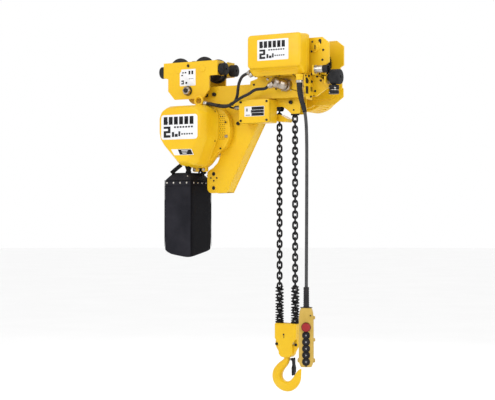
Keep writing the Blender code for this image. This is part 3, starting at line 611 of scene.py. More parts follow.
def carried_nodes():
    """The plates, boxes and shafts that keep their CAD shapes."""
    plates = (
        "frame_plate_near", "frame_plate_far", "drive_plate_near", "drive_plate_far",
        "idle_plate_near", "idle_plate_far",
    )
    for name in plates:
        carried(name, YELLOW, 0.001)
    for name in ("frame_web", "control_box", "limit_box", "limit_lever"):
        carried(name, YELLOW, 0.0008)
    for name in ("tie_shaft", "sheave_axle", "idle_cross_shaft"):
        carried(name, STEEL, 0.0006)


# ---- frame ------------------------------------------------------------------------------------
IDLE_SHAFT = (-0.275, -0.052)
LEG_TOP = (0.115, -0.142)
LEG_FOOT = (-0.092, -0.528)


def frame_fittings():
    """Bolts, spacer tubes, weld seams, hole rims, the chain's anchor and the ring at its mouth."""
    bm = bmesh.new()
    heads = (
        (-0.157, -0.071, 0.009), (-0.2, -0.073, 0.009), (0.2458, -0.125, 0.0085),
        (-0.028, -0.2105, 0.008), (0.06, -0.08, 0.007),
    )
    for side in (-1, 1):
        y = side * FRAME_FACE
        for x, z, size in heads:
            hex_bolt(bm, (x, y, z), (0, side, 0), size, socket=True, washer=False)
        for x, z in ((-0.177, -0.4585), (-0.1446, -0.459), (-0.161, -0.4715)):
            pan_screw(bm, (x, y, z), (0, side, 0), 0.0042)
    piece("frame_bolts", bm, DARK_IRON, bevel=0.0003)
    bm = bmesh.new()
    for x, z, r in ((-0.157, -0.071, 0.011), (-0.028, -0.2105, 0.01), (0.2458, -0.125, 0.0085),
                    (-0.161, -0.44, 0.013), (-0.161, -0.5055, 0.013)):
        tube = [(r, 0.0276), (r, -0.0276), (r - 0.003, -0.0276), (r - 0.003, 0.0276)]
        lathe(bm, tube, (x, 0, z), (0, 1, 0), 24, close=True)
    piece("frame_spacers", bm, STEEL)
    bm = bmesh.new()
    a, b = Vector((LEG_TOP[0], 0, LEG_TOP[1])), Vector((LEG_FOOT[0], 0, LEG_FOOT[1]))
    for side in (-1, 1):
        line, sizes = [], []
        count = 120
        for k in range(count + 1):
            t = 0.03 + 0.94 * k / count
            line.append(a.lerp(b, t) + Vector((-0.0006, side * 0.0281, 0.0004)))
            sizes.append(0.0021 + 0.0005 * math.sin(k * 1.6))
        sweep(bm, line, sizes, 8)
    piece("frame_weld_seams", bm, YELLOW)
    bm = bmesh.new()
    for side in (-1, 1):
        for x, z in ((-0.161, -0.44), (-0.161, -0.5055)):
            rim = [(0.0135, 0.0), (0.0135, 0.0016), (0.0128, 0.0024), (0.0094, 0.0024), (0.0094, 0.0)]
            lathe(bm, rim, (x, side * FRAME_FACE, z), (0, side, 0), 28, close=True)
            plug = [(0, -0.005), (0.009, -0.005), (0.009, 0.0012), (0.0075, 0.0022), (0.0045, 0.0022),
                    (0.004, -0.001), (0, -0.001)]
            lathe(bm, plug, (x, side * FRAME_FACE, z), (0, side, 0), 28, index=1)
    piece("leg_hole_rims", bm, [YELLOW, DARK_IRON])
    bm = bmesh.new()
    pin = [(0.0, 0.0355), (0.0055, 0.0355), (0.0062, 0.0345), (0.0062, -0.0345), (0.0055, -0.0355),
           (0.0, -0.0355)]
    lathe(bm, pin, (DEAD_X, 0, ANCHOR_Z + 0.004), (0, 1, 0), 20)
    for side in (-1, 1):
        cheek = [(DEAD_X + x, z) for x, z in rounded((-0.012, -0.16), (0.012, -0.118), 0.008, 5)]
        low, high = span(side, 0.015, 0.02)
        casting(bm, cheek, both_sides(low, high, 0.0008, 2))
    piece("chain_anchor", bm, DARK_IRON)
    bm = bmesh.new()
    mouth = [(0.0148, -0.0035), (0.0182, -0.0035), (0.019, -0.0025), (0.019, 0.0025), (0.0182, 0.0035),
             (0.0148, 0.0035)]
    lathe(bm, mouth, (LIVE_X, 0, -0.1775), (0, 0, 1), 40, close=True)
    for side in (-1, 1):
        low, high = span(side, 0.017, 0.0279)
        block(bm, (LIVE_X - 0.006, low, -0.18), (LIVE_X + 0.006, high, -0.175))
        pan_screw(bm, (0.259, side * FRAME_FACE, -0.16), (0, side, 0), 0.0042)
    piece("chain_mouth_ring", bm, DARK_IRON, bevel=0.0003)


# ---- trolleys ---------------------------------------------------------------------------------
IDLE_X = -0.263
IDLE_STEP = 0.066
DRIVE_X = 0.255
DRIVE_STEP = 0.085


def gear_outline(centre, pitch_r, teeth, turn):
    """A spur gear's outline: trapezoid teeth with rounded tips."""
    module = 2 * pitch_r / teeth
    root, tip = pitch_r - 1.15 * module, pitch_r + 0.85 * module
    made = []
    for k in range(teeth):
        middle = turn + 2 * math.pi * k / teeth
        width = 2 * math.pi / teeth
        shape = ((-0.42, root), (-0.27, root + 0.1 * module), (-0.21, pitch_r), (-0.12, tip),
                 (0.12, tip), (0.21, pitch_r), (0.27, root + 0.1 * module), (0.42, root))
        for share, r in shape:
            a = middle + share * width
            made.append((centre[0] + r * math.cos(a), centre[1] + r * math.sin(a)))
    return made


def wheel(trolley, x, side, end, body, geared):
    """A turned trolley wheel on its axle; a geared one has a ring of teeth."""
    bm = bmesh.new()
    flange = 0.052 if geared else 0.057
    tread = [
        (0.013, 0.03), (0.044, 0.03), (0.047, 0.0312), (0.0478, 0.0345), (0.0476, 0.052),
        (0.049, 0.055), (flange - 0.0015, 0.056), (flange, 0.0575), (flange, 0.064),
        (flange - 0.0015, 0.0655), (0.036, 0.0655), (0.0345, 0.064), (0.0345, 0.061),
        (0.031, 0.0605), (0.03, 0.0625), (0.02, 0.0625), (0.019, 0.0605), (0.018, 0.0605),
        (0.018, 0.0672), (0.013, 0.0672),
    ]
    lathe(bm, list(reversed(tread)), (x, 0, TREAD_Z), (0, side, 0), 64, close=True)
    lathe(bm, disc(0.0128, 0.0305, 0.067), (x, 0, TREAD_Z), (0, side, 0), 24, index=1)
    name = f"{trolley}_wheel_{side_word(side)}_{end}"
    if geared:
        outline = gear_outline((x, TREAD_Z), GEAR_PITCH_R, WHEEL_TEETH, 0.0)
        low, high = span(side, 0.056, 0.0652)
        inner = arc((x, TREAD_Z), 0.0505, 0, 360 - 360 / len(outline), len(outline))
        rings = [(inner, low), (outline, low), (outline, high), (inner, high)]
        loft(bm, [standing(*ring) for ring in rings], close=True)
    piece(name + "_turned", bm, [DARK_IRON, STEEL], body, slot="wheel_steel", nodes=[name], bevel=0.0003)


def wheels():
    """The eight trolley wheels and the pinion that turns two of them."""
    for side in (-1, 1):
        word = side_word(side)
        for step, end in ((-1, "left"), (1, "right")):
            wheel("idle", IDLE_X + step * IDLE_STEP, side, end, f"idle_wheel_{word}_{end}", False)
            body = f"drive_wheel_{word}_{end}"
            wheel("drive", DRIVE_X + step * DRIVE_STEP, side, end, body, side > 0)
    bm = bmesh.new()
    outline = gear_outline((DRIVE_X, TREAD_Z), PINION_PITCH_R, PINION_TEETH, math.pi / PINION_TEETH)
    casting(bm, outline, [(0.0562, 0.0), (0.0665, 0.0)])
    lathe(bm, [(0, 0.048), (0.011, 0.048), (0.012, 0.049), (0.012, 0.0565), (0, 0.0565)],
          (DRIVE_X, 0, TREAD_Z), (0, 1, 0), 24)
    piece("pinion_with_teeth", bm, STEEL, "travel_pinion", nodes=["travel_pinion"], bevel=0.0002)


def axle_ends():
    """Axle heads, cross shaft nuts and screws on the outer faces of the trolley plates."""
    for trolley, middle, step, body in (("idle", IDLE_X, IDLE_STEP, "idle_trolley"),
                                        ("drive", DRIVE_X, DRIVE_STEP, "root")):
        bm = bmesh.new()
        for side in (-1, 1):
            if side < 0 and trolley == "drive":
                continue
            for sign in (-1, 1):
                x = middle + sign * step
                lathe(bm, stud(0.0165, 0.001, 0.015, 0.0022),
                      (x, side * PLATE_FACE, TREAD_Z), (0, side, 0), 28)
        piece(f"{trolley}_axle_heads", bm, YELLOW, body)
    bm = bmesh.new()
    for side in (-1, 1):
        at = (IDLE_SHAFT[0], side * (PLATE_FACE + 0.0003), IDLE_SHAFT[1])
        lathe(bm, stud(0.0225, 0.0024, 0.0215, 0.0032), at,
              (0, side, 0), 32, index=1)
        hex_bolt(bm, (at[0], at[1] + side * 0.0032, at[2]), (0, side, 0), 0.0185, washer=False)
        lathe(bm, stud(0.0105, 0.024, 0.0092, 0.0255), at,
              (0, side, 0), 24, index=1)
    piece("cross_shaft_nuts", bm, [NICKEL, DARK_IRON], slot="bright_steel", bevel=0.0005)
    bm = bmesh.new()
    for side in (-1, 1):
        hex_bolt(bm, (-0.2735, side * PLATE_FACE, 0.064), (0, side, 0), 0.005, socket=True)
        pan_screw(bm, (-0.2755, side * PLATE_FACE, 0.072), (0, side, 0), 0.003)
    piece("idle_plate_screws", bm, DARK_IRON, "idle_trolley")


def buffers():
    """Moulded rubber buffers at the ends of the trolleys, and the socket below the right one."""
    for end, x_face, way in (("left", -0.4113, -1), ("right", -0.1147, 1)):
        bm = bmesh.new()
        depth = 0.0287
        profile = [(0, 0), (0.028, 0), (0.028, 0.003), (0.0272, 0.0036), (0.0272, 0.005),
                   (0.028, 0.006), (0.028, depth - 0.0022), (0.0274, depth - 0.0008),
                   (0.026, depth), (0.006, depth), (0.005, depth - 0.004), (0, depth - 0.004)]
        lathe(bm, profile, (x_face, -0.047, 0.043), (way, 0, 0), 40)
        piece(f"idle_buffer_{end}_rubber", bm, RUBBER, "idle_trolley", nodes=[f"idle_buffer_{end}"])
        bm = bmesh.new()
        lathe(bm, profile, (x_face, 0.047, 0.043), (way, 0, 0), 40)
        piece(f"idle_buffer_{end}_far", bm, RUBBER, "idle_trolley")
    bm = bmesh.new()
    low, deep = 0.4672, 0.525 - 0.4672
    rubber = [(0, 0.0), (0.0155, 0.0), (0.0158, 0.002), (0.0158, deep - 0.045),
              (0.029, deep - 0.0445), (0.0325, deep - 0.042), (0.033, deep - 0.038),
              (0.033, deep - 0.028), (0.0322, deep - 0.027), (0.0322, deep - 0.024),
              (0.033, deep - 0.023), (0.033, deep - 0.003),
              (0.0318, deep - 0.0008), (0.029, deep), (0.007, deep),
              (0.006, deep - 0.004), (0, deep - 0.004)]
    lathe(bm, rubber, (low, -0.101, -0.03), (1, 0, 0), 48)
    piece("drive_buffer_rubber", bm, RUBBER, nodes=["drive_buffer"])
    bm = bmesh.new()
    foot = [(0, -0.012), (0.008, -0.012), (0.008, 0), (0.0175, 0), (0.018, 0.0015), (0.018, 0.017),
            (0.0168, 0.019), (0.013, 0.0195), (0.013, 0.023), (0.0172, 0.0235), (0.0176, 0.025),
            (0.0176, 0.037), (0.016, 0.0385), (0, 0.0385)]
    foot = [(r * 1.28, h) for r, h in foot]
    lathe(bm, foot, (0.489, -0.094, -0.0655), (0, 0, -1), 160, ribbed(32, 0.0008, 0.5, 0.0222))
    for dx, dz in ((-0.015, -0.012), (0.014, -0.013), (-0.013, -0.032)):
        way = Vector((dx, -0.017, 0)).normalized()
        dome(bm, Vector((0.489, -0.094, -0.0655 + dz)) + way * 0.0218, way, 0.0042, 1)
    lathe(bm, [(0.0168, 0.0196), (0.0195, 0.02), (0.0195, 0.0226), (0.0168, 0.023)],
          (0.489, -0.094, -0.0655), (0, 0, -1), 32, close=True, index=1)
    block(bm, (0.456, -0.099, -0.0655), (0.49, -0.089, -0.0635), index=2)
    piece("socket_below_buffer", bm, [BLACK_PLASTIC, ZINC, YELLOW], bevel=0.0004)


def drive_plate_details():
    """Hub boss, bolts, slot and small holes with screws on the near drive plate. The slots there and on the
    control box bracket are drawn as dark blocks and patches: painted shade.
    """
    bm = bmesh.new()
    hub = (0.392, -PLATE_FACE, 0.1125)
    boss = [(0, 0), (0.026, 0), (0.0255, 0.002), (0.0175, 0.003), (0.0165, 0.0062),
            (0.015, 0.007), (0, 0.007)]
    lathe(bm, boss, hub, (0, -1, 0), 40)
    for x, z in ((0.0795, -0.0417), (0.1945, -0.0654)):
        lathe(bm, [(0, 0), (0.0062, 0), (0.0058, 0.0012), (0, 0.0012)], (x, -PLATE_FACE, z),
              (0, -1, 0), 20)
    piece("drive_plate_bosses", bm, YELLOW)
    bm = bmesh.new()
    for x, z in ((0.3766, 0.1326), (0.3727, 0.0909), (0.4296, 0.0943), (0.4257, 0.0508)):
        pan_screw(bm, (x, -PLATE_FACE - 0.0004, z), (0, -1, 0), 0.0052)
    casting(bm, rounded((0.406, 0.12), (0.42, 0.144), 0.0068, 6),
            [(-PLATE_FACE - 0.0002, 0.0), (-PLATE_FACE - 0.0012, 0.0), (-PLATE_FACE - 0.0016, 0.0006)])
    for x, z in ((0.4179, -0.0397), (0.4002, -0.0212), (0.39, -0.085), (0.0795, -0.0417),
                 (0.1945, -0.0654)):
        hex_bolt(bm, (x, -PLATE_FACE - 0.001, z), (0, -1, 0), 0.004)
    # Painted shade: a dark block beside the keeper, where a slot lies in shade.
    block(bm, (0.3895, -PLATE_FACE - 0.0078, 0.099), (0.3945, -PLATE_FACE - 0.006, 0.118))
    piece("drive_plate_screws_and_slot_shade", bm, DARK_IRON, bevel=0.0002)
    bm = bmesh.new()
    bent = [(0.4045, 0.13), (0.399, 0.124), (0.3975, 0.115), (0.4015, 0.105), (0.4005, 0.096),
            (0.394, 0.089), (0.3865, 0.087)]
    line = smooth_route([(x, -PLATE_FACE - 0.006, z) for x, z in bent], 36)
    sweep(bm, [(0.4045, -PLATE_FACE + 0.001, 0.1302)] + line + [(0.3862, -PLATE_FACE + 0.001, 0.087)],
          0.0036, 10)
    piece("drive_plate_keeper", bm, YELLOW)
    bm = bmesh.new()
    sheet = fillet([(-0.079, -0.0135), (-0.15, -0.0135), (-0.15, -0.09), (-0.138, -0.123),
                    (-0.079, -0.123)], 0.006, 4)
    rings = [[Vector((x, y, z)) for y, z in inset(sheet, d)]
             for x, d in ((0.3722, 0.0006), (0.3728, 0.0), (0.3752, 0.0), (0.3758, 0.0006))]
    loft(bm, rings)
    # Painted shade: dark patches on the bracket's face where its slots are.
    for y_low, y_high, z_low, z_high in ((-0.143, -0.117, -0.1, -0.067),
                                         (-0.143, -0.117, -0.055, -0.03)):
        rings = [[Vector((x, y, z)) for y, z in rounded((y_low - d, z_low - d), (y_high + d, z_high + d),
                                                        0.004, 4)]
                 for x, d in ((0.3756, 0.0), (0.3762, 0.0), (0.3764, -0.0006))]
        loft(bm, rings, index=1)
    for y, z in ((-0.144, -0.0205), (-0.115, -0.0215), (-0.095, -0.11)):
        hex_bolt(bm, (0.3757, y, z), (1, 0, 0), 0.0044, index=1)
    sweep(bm, [(0.379, -0.148, -0.018), (0.3795, -0.13, -0.03), (0.379, -0.112, -0.046)],
          0.0018, 8)
    piece("control_box_bracket", bm, [YELLOW, DARK_IRON], bevel=0.0003)
    bm = bmesh.new()
    for x, z in ((0.168, -0.007), (0.15, -0.02), (0.402, -0.003)):
        hex_bolt(bm, (x, -PLATE_FACE, z), (0, -1, 0), 0.0048)
    piece("drive_plate_zinc_bolts", bm, ZINC, bevel=0.0003)
    bm = bmesh.new()
    # Painted shade: dark patches at the bracket's edge where its slots are.
    for y in (-0.0862, -0.0958):
        slot = [(y + a, z) for a, z in rounded((-0.003, -0.088), (0.003, -0.068), 0.0028, 5)]
        rings = [[Vector((x, p, q)) for p, q in slot] for x in (0.3771, 0.3782)]
        loft(bm, rings)
    for z in (-0.044, -0.011):
        hex_bolt(bm, (0.3777, -0.091, z), (1, 0, 0), 0.0048)
    piece("bracket_bolts_and_slot_shade", bm, DARK_IRON, bevel=0.0002)


# ---- travel drive -------------------------------------------------------------------------------
MOTOR_AXIS = (0.255, -0.058)


def ribbed(count, depth, share=0.42, floor=0.0):
    """A ripple that stands ribs out of a barrel: the radius drops between them."""
    def shape(r, a):
        if r < floor:
            return r
        phase = (a * count / (2 * math.pi)) % 1.0
        return r if phase < share else r - depth
    return shape


def travel_drive():
    """The travel gearcase, and the ribbed motor behind it."""
    bm = bmesh.new()
    face = PLATE_FACE + GAP
    outline = arc(MOTOR_AXIS, 0.088, 200, 340, 25) + arc((DRIVE_X, 0.05), 0.055, 0, 180, 21)
    casting(bm, outline, [(face, 0.0), (face + 0.006, 0.0), (face + 0.0062, 0.002),
                          (face + 0.0075, 0.002)] + round_over(face + 0.0077, face + 0.03, 0.005, 5))
    piece("travel_gearcase_casting", bm, YELLOW, nodes=["travel_gearcase"])
    bm = bmesh.new()
    foot = [(0.15, -0.06), (0.15, -0.118), (0.166, -0.1345), (0.404, -0.1345),
            (0.45, -0.102), (0.45, -0.06)]
    casting(bm, fillet(foot, 0.006, 3), both_sides(face + 0.0008, face + 0.0078, 0.0012, 2))
    for x in (0.205, 0.305, 0.37):
        casting(bm, [(x, -0.133), (x + 0.0065, -0.133), (x + 0.0065, -0.09), (x, -0.09)],
                both_sides(face + 0.007, face + 0.026, 0.001, 2))
    piece("travel_motor_foot", bm, YELLOW)
    bm = bmesh.new()
    for x, z in [(DRIVE_X + 0.047 * math.cos(a), 0.05 + 0.047 * math.sin(a))
                 for a in map(math.radians, (10, 60, 120, 170))]:
        hex_bolt(bm, (x, face + 0.03, z), (0, 1, 0), 0.0045)
    piece("travel_gearcase_bolts", bm, ZINC, bevel=0.0003)
    low, high = face + 0.0305, 0.25
    at = (MOTOR_AXIS[0], 0, MOTOR_AXIS[1])
    bm = bmesh.new()
    barrel = [(0, low), (0.094, low), (0.0975, low + 0.003), (0.0985, low + 0.012),
              (0.1, low + 0.018)]
    barrel += [(0.1, low + 0.018 + 0.008 * k) for k in range(1, 10)] + [(0, low + 0.091)]
    lathe(bm, barrel, at, (0, 1, 0), 240, ribbed(40, 0.0045, 0.45, 0.0995))
    piece("travel_motor_barrel", bm, YELLOW, nodes=["travel_motor"], bevel=0.0004)
    bm = bmesh.new()
    cap = [(0, low + 0.0905), (0.0985, low + 0.0905), (0.1, low + 0.0925), (0.1, high - 0.028),
           (0.0975, high - 0.018), (0.09, high - 0.008), (0.078, high - 0.002),
           (0.07, high), (0.022, high), (0.021, high - 0.002), (0, high - 0.002)]
    lathe(bm, cap, at, (0, 1, 0), 72)
    piece("travel_motor_cap", bm, YELLOW)
    bm = bmesh.new()
    for a in map(math.radians, (30, 120, 210, 300)):
        p = (at[0] + 0.06 * math.cos(a), high, at[2] + 0.06 * math.sin(a))
        pan_screw(bm, p, (0, 1, 0), 0.005)
    lathe(bm, [(0, high - 0.001), (0.016, high - 0.001), (0.015, high + 0.002), (0, high + 0.002)],
          at, (0, 1, 0), 32)
    piece("travel_motor_screws", bm, ZINC)


# ---- control box ----------------------------------------------------------------------------------
BOX_LOW = (0.104, -0.013)
BOX_HIGH = (0.3735, 0.167)
BOX_SPLIT = -0.122
BOX_FRONT = -0.187


def match(a, b, share):
    """An outline between two others of equal counts."""
    return [tuple(Vector(p).lerp(Vector(q), share)) for p, q in zip(a, b)]


def control_cover():
    """The pressed cover: a round-cornered face, a chamfer along its foot, and a joint lip."""
    full = rounded(BOX_LOW, BOX_HIGH, 0.012, 8)
    face = rounded((BOX_LOW[0], 0.016), BOX_HIGH, 0.018, 8)
    bm = bmesh.new()
    rings = [[Vector((x, y, z)) for x, z in inset(full, d)]
             for y, d in ((BOX_SPLIT - GAP, 0.0), (-0.1275, 0.0), (-0.128, 0.0012), (-0.146, 0.0012))]
    steps = 5
    for k in range(1, steps + 1):
        t = k / steps
        outline = match(full, face, 1 - (1 - t) ** 1.25)
        y = -0.146 + (BOX_FRONT + 0.012 + 0.146) * t
        rings.append([Vector((x, y, z)) for x, z in inset(outline, 0.0012)])
    radius = 0.0085
    for k in range(1, 8):
        a = math.pi / 2 * k / 7
        y = BOX_FRONT + radius * (1 - math.sin(a)) + 0.002 * (1 - k / 7)
        drop = 0.0012 + radius * (1 - math.cos(a))
        rings.append([Vector((x, y, z)) for x, z in inset(face, drop)])
    loft(bm, rings)
    piece("control_cover_pressing", bm, YELLOW, nodes=["control_cover"], sharp=38)
    bm = bmesh.new()
    for x, z in ((0.365, 0.158), (0.113, 0.158)):
        pan_screw(bm, (x, -0.1295, z), (0, -1, 0), 0.004)
    for x in (0.118, 0.165, 0.24, 0.31, 0.355):
        pan_screw(bm, (x, -0.134, BOX_LOW[1] + 0.0004), (0, 0, -1), 0.004)
    piece("control_cover_screws", bm, DARK_IRON)
    bm = bmesh.new()
    seal = [Vector((x, 0, z)) for x, z in inset(full, 0.001)]
    sweep(bm, [p + Vector((0, BOX_SPLIT, 0)) for p in seal], 0.0011, 6, close=True)
    piece("control_cover_seal", bm, RUBBER)
    bm = bmesh.new()
    x = 0.15
    step = 0
    while x < 0.335:
        wide = 0.0035 + 0.003 * ((step * 7) % 3) / 2
        block(bm, (x, -0.0015, -0.0024), (x + wide, 0.0, 0.0024),
              Matrix.Translation((0, -0.1668, 0.0035)) @ Matrix.Rotation(math.radians(-28), 4, "X"))
        x += wide + 0.002
        step += 1
    piece("control_cover_grille", bm, YELLOW, bevel=0.0003)
    bm = bmesh.new()
    lathe(bm, [(0, 0), (0.0125, 0), (0.0125, 0.006), (0.0105, 0.008), (0.0105, 0.016), (0.0075, 0.018),
               (0, 0.018)], (0.11, -0.146, -0.001), (-0.55, 0, -0.3), 6)
    piece("control_box_side_gland", bm, ZINC, slot="connector_metal", bevel=0.0005)


def label(name, x_low, x_high, z_low, z_high, y, body, rows, radius=0.003):
    """A printed plate: white ground with plain bars, given as (left, low, right, high) shares."""
    bm = bmesh.new()
    outline = rounded((x_low, z_low), (x_high, z_high), radius, 5)
    casting(bm, outline, [(y, 0.0), (y - 0.0005, 0.0), (y - 0.0006, 0.0002)])
    wide, tall = x_high - x_low, z_high - z_low
    for a, b, c, d in rows:
        block(bm, (x_low + a * wide, y - 0.0009, z_low + b * tall),
              (x_low + c * wide, y - 0.0004, z_low + d * tall), index=1)
    piece(name, bm, [WHITE, INK], body)


def bars(left, low, right, high, count, fill=0.62):
    """A row of plain bars that stands where a line of print would."""
    step = (right - left) / count
    return [(left + k * step, low, left + (k + fill) * step, high) for k in range(count)]


LABEL_ROWS = (
    bars(0.07, 0.6, 0.93, 0.92, 6, 0.74)
    + bars(0.155, 0.66, 0.925, 0.72, 6, 0.26)
    + bars(0.07, 0.72, 0.98, 0.8, 3, 0.1)
    + [(0.07, 0.08, 0.26, 0.18), (0.07, 0.26, 0.26, 0.35), (0.07, 0.44, 0.26, 0.53),
       (0.19, 0.35, 0.26, 0.44), (0.07, 0.18, 0.14, 0.26)]
    + [(0.3, 0.1, 0.36, 0.3), (0.38, 0.1, 0.46, 0.22), (0.48, 0.12, 0.53, 0.32)]
    + bars(0.56, 0.18, 0.9, 0.24, 5, 0.62)
    + bars(0.36, 0.46, 0.9, 0.53, 7, 0.66)
)


def labels():
    """The plates on the boxes, the idle trolley and the hoist. Their bars stand for lines of print,
    and on the large ones five of them draw a plain figure 2."""
    label("control_box_label", 0.158, 0.314, 0.05, 0.142, BOX_FRONT + 0.0002, "root", LABEL_ROWS)
    small = bars(0.56, 0.68, 0.92, 0.9, 2, 0.62) + bars(0.16, 0.76, 0.48, 0.84, 2, 0.6)
    small += [(0.1, 0.6, 0.2, 0.68), (0.1, 0.1, 0.26, 0.18), (0.1, 0.26, 0.26, 0.34),
              (0.2, 0.18, 0.26, 0.26), (0.36, 0.12, 0.48, 0.24)] + bars(0.58, 0.4, 0.9, 0.44, 3)
    label("idle_trolley_label", -0.3205, -0.2335, -0.0285, 0.049, -PLATE_FACE, "idle_trolley", small)
    label("hoist_label", -0.343, -0.146, -0.285, -0.172, -0.2002, "root", LABEL_ROWS, 0.014)
    sticker = [(0.36, 0.04, 0.985, 0.34), (0.33, 0.37, 0.985, 0.62), (0.37, 0.65, 0.985, 0.95),
               (0.06, 0.1, 0.28, 0.16), (0.1, 0.5, 0.16, 0.8)]
    label("limit_box_label", 0.048, 0.15, -0.187, -0.142, -0.1102, "root", sticker, 0.0015)
    bm = bmesh.new()
    outline = [(-0.289, -0.33), (-0.1785, -0.331), (-0.166, -0.3575), (-0.2706, -0.3575)]
    casting(bm, outline, [(-0.2, 0.0), (-0.2006, 0.0)])
    dark = [(-0.252, -0.332), (-0.1815, -0.333), (-0.17, -0.3555), (-0.24, -0.3555)]
    casting(bm, dark, [(-0.2004, 0.0), (-0.2009, 0.0)], index=1)
    for k in range(3):
        z = -0.3375 - 0.0065 * k
        x = -0.232 + 0.003 * k
        block(bm, (x, -0.2012, z - 0.0012), (x + 0.034 - 0.006 * k, -0.2008, z + 0.0012))
    piece("hoist_sticker", bm, [WHITE, INK])


# ---- plugs, glands and leads ----------------------------------------------------------------------
def power_inlet():
    """The round supply connector at the control box's right, with its four pins."""
    start_x, y, z = 0.4168, -0.127, 0.0045
    bm = bmesh.new()
    shell = [(0, 0), (0.019, 0), (0.019, 0.003), (0.016, 0.0032), (0.016, 0.006),
             (0.0168, 0.007), (0.0168, 0.03), (0.0158, 0.031), (0.0158, 0.038), (0, 0.038)]
    lathe(bm, shell, (start_x, y, z), (1, 0, 0), 48)
    piece("power_inlet_shell", bm, ZINC, slot="connector_metal", nodes=["power_inlet"], bevel=0.0003)
    bm = bmesh.new()
    end = [(0, 0.038), (0.0165, 0.038), (0.0172, 0.039), (0.0172, 0.06), (0.0165, 0.0618),
           (0.014, 0.062), (0.0135, 0.054), (0, 0.054)]
    lathe(bm, end, (start_x, y, z), (1, 0, 0), 120, ribbed(30, 0.0007, 0.5, 0.0168))
    for a in range(4):
        turn = math.radians(45 + 90 * a)
        at = (start_x + 0.053, y + 0.0065 * math.cos(turn), z + 0.0065 * math.sin(turn))
        lathe(bm, stud(0.0017, 0.007, 0.0008, 0.008), at,
              (1, 0, 0), 12)
    piece("power_inlet_insulator", bm, BLACK_PLASTIC)
    bm = bmesh.new()
    for dy in (-0.0155, 0.0155):
        pan_screw(bm, (start_x, y + dy, z + 0.0135), (1, 0, 0), 0.0022)
    hex_bolt(bm, (start_x - 0.001, -0.09, -0.012), (1, 0, 0), 0.0035)
    piece("power_inlet_screws", bm, DARK_IRON)


PLUG_FOOT = Vector((0.245, -0.0785, -0.052))
PLUG_WAY = Vector((-0.62, -0.74, 0.22)).normalized()
PLUG_MOUTH = PLUG_FOOT + Vector((0, -0.0175, 0)) + PLUG_WAY * 0.056
PLUG_LEAD = Vector((-0.78, -0.2, -0.42)).normalized()
CONTROL_LEAD = [
    (-0.18, -0.086, -0.1165), (-0.15, -0.09, -0.1175), (-0.11, -0.095, -0.126),
    (-0.07, -0.098, -0.132), (-0.035, -0.101, -0.13), (-0.005, -0.106, -0.115),
    (0.011, -0.112, -0.09), (0.019, -0.119, -0.064), (0.03, -0.129, -0.038),
    (0.05, -0.139, -0.012), (0.072, -0.145, -0.001), (0.088, -0.146, 0.004),
]
MOTOR_LEAD = [
    (-0.168, -0.101, -0.118), (-0.145, -0.1055, -0.12), (-0.11, -0.108, -0.129),
    (-0.07, -0.111, -0.137), (-0.035, -0.115, -0.136), (0.0, -0.122, -0.121),
    (0.04, -0.126, -0.102), (0.08, -0.127, -0.087), (0.115, -0.128, -0.07),
]


def motor_plug():
    """The angled metal connector of the travel motor."""
    bm = bmesh.new()
    collar = [(0, 0), (0.0285, 0), (0.0285, 0.012), (0.0265, 0.015), (0.0265, 0.018),
              (0.024, 0.02), (0, 0.02)]
    lathe(bm, collar, PLUG_FOOT, (0, -1, 0), 160, ribbed(40, 0.0007, 0.5, 0.028))
    begin = PLUG_FOOT + Vector((0, -0.0175, 0)) - PLUG_WAY * 0.004
    body = [(0, 0), (0.0235, 0), (0.0235, 0.006), (0.025, 0.008), (0.025, 0.026), (0.024, 0.028),
            (0.024, 0.034), (0.025, 0.036), (0.025, 0.054), (0.0215, 0.06), (0, 0.06)]
    lathe(bm, body, begin, PLUG_WAY, 56)
    neck = PLUG_MOUTH - PLUG_WAY * 0.012
    nut = stud(0.0145, 0.016, 0.0138, 0.017)
    lathe(bm, nut, neck + PLUG_LEAD * 0.012, PLUG_LEAD, 6)
    cone = [(0, 0), (0.0128, 0), (0.0122, 0.008), (0.0088, 0.012), (0, 0.012)]
    lathe(bm, cone, neck + PLUG_LEAD * 0.0275, PLUG_LEAD, 40)
    piece("motor_plug_shell", bm, NICKEL, nodes=["motor_plug"], bevel=0.0003)
    bm = bmesh.new()
    for dx, dz in ((-0.024, 0.024), (0.024, 0.024), (-0.024, -0.024), (0.024, -0.024)):
        pan_screw(bm, (PLUG_FOOT.x + dx * 0.95, -PLATE_FACE, PLUG_FOOT.z + dz * 0.95), (0, -1, 0),
                  0.0026)
    piece("motor_plug_screws", bm, ZINC, slot="connector_metal")


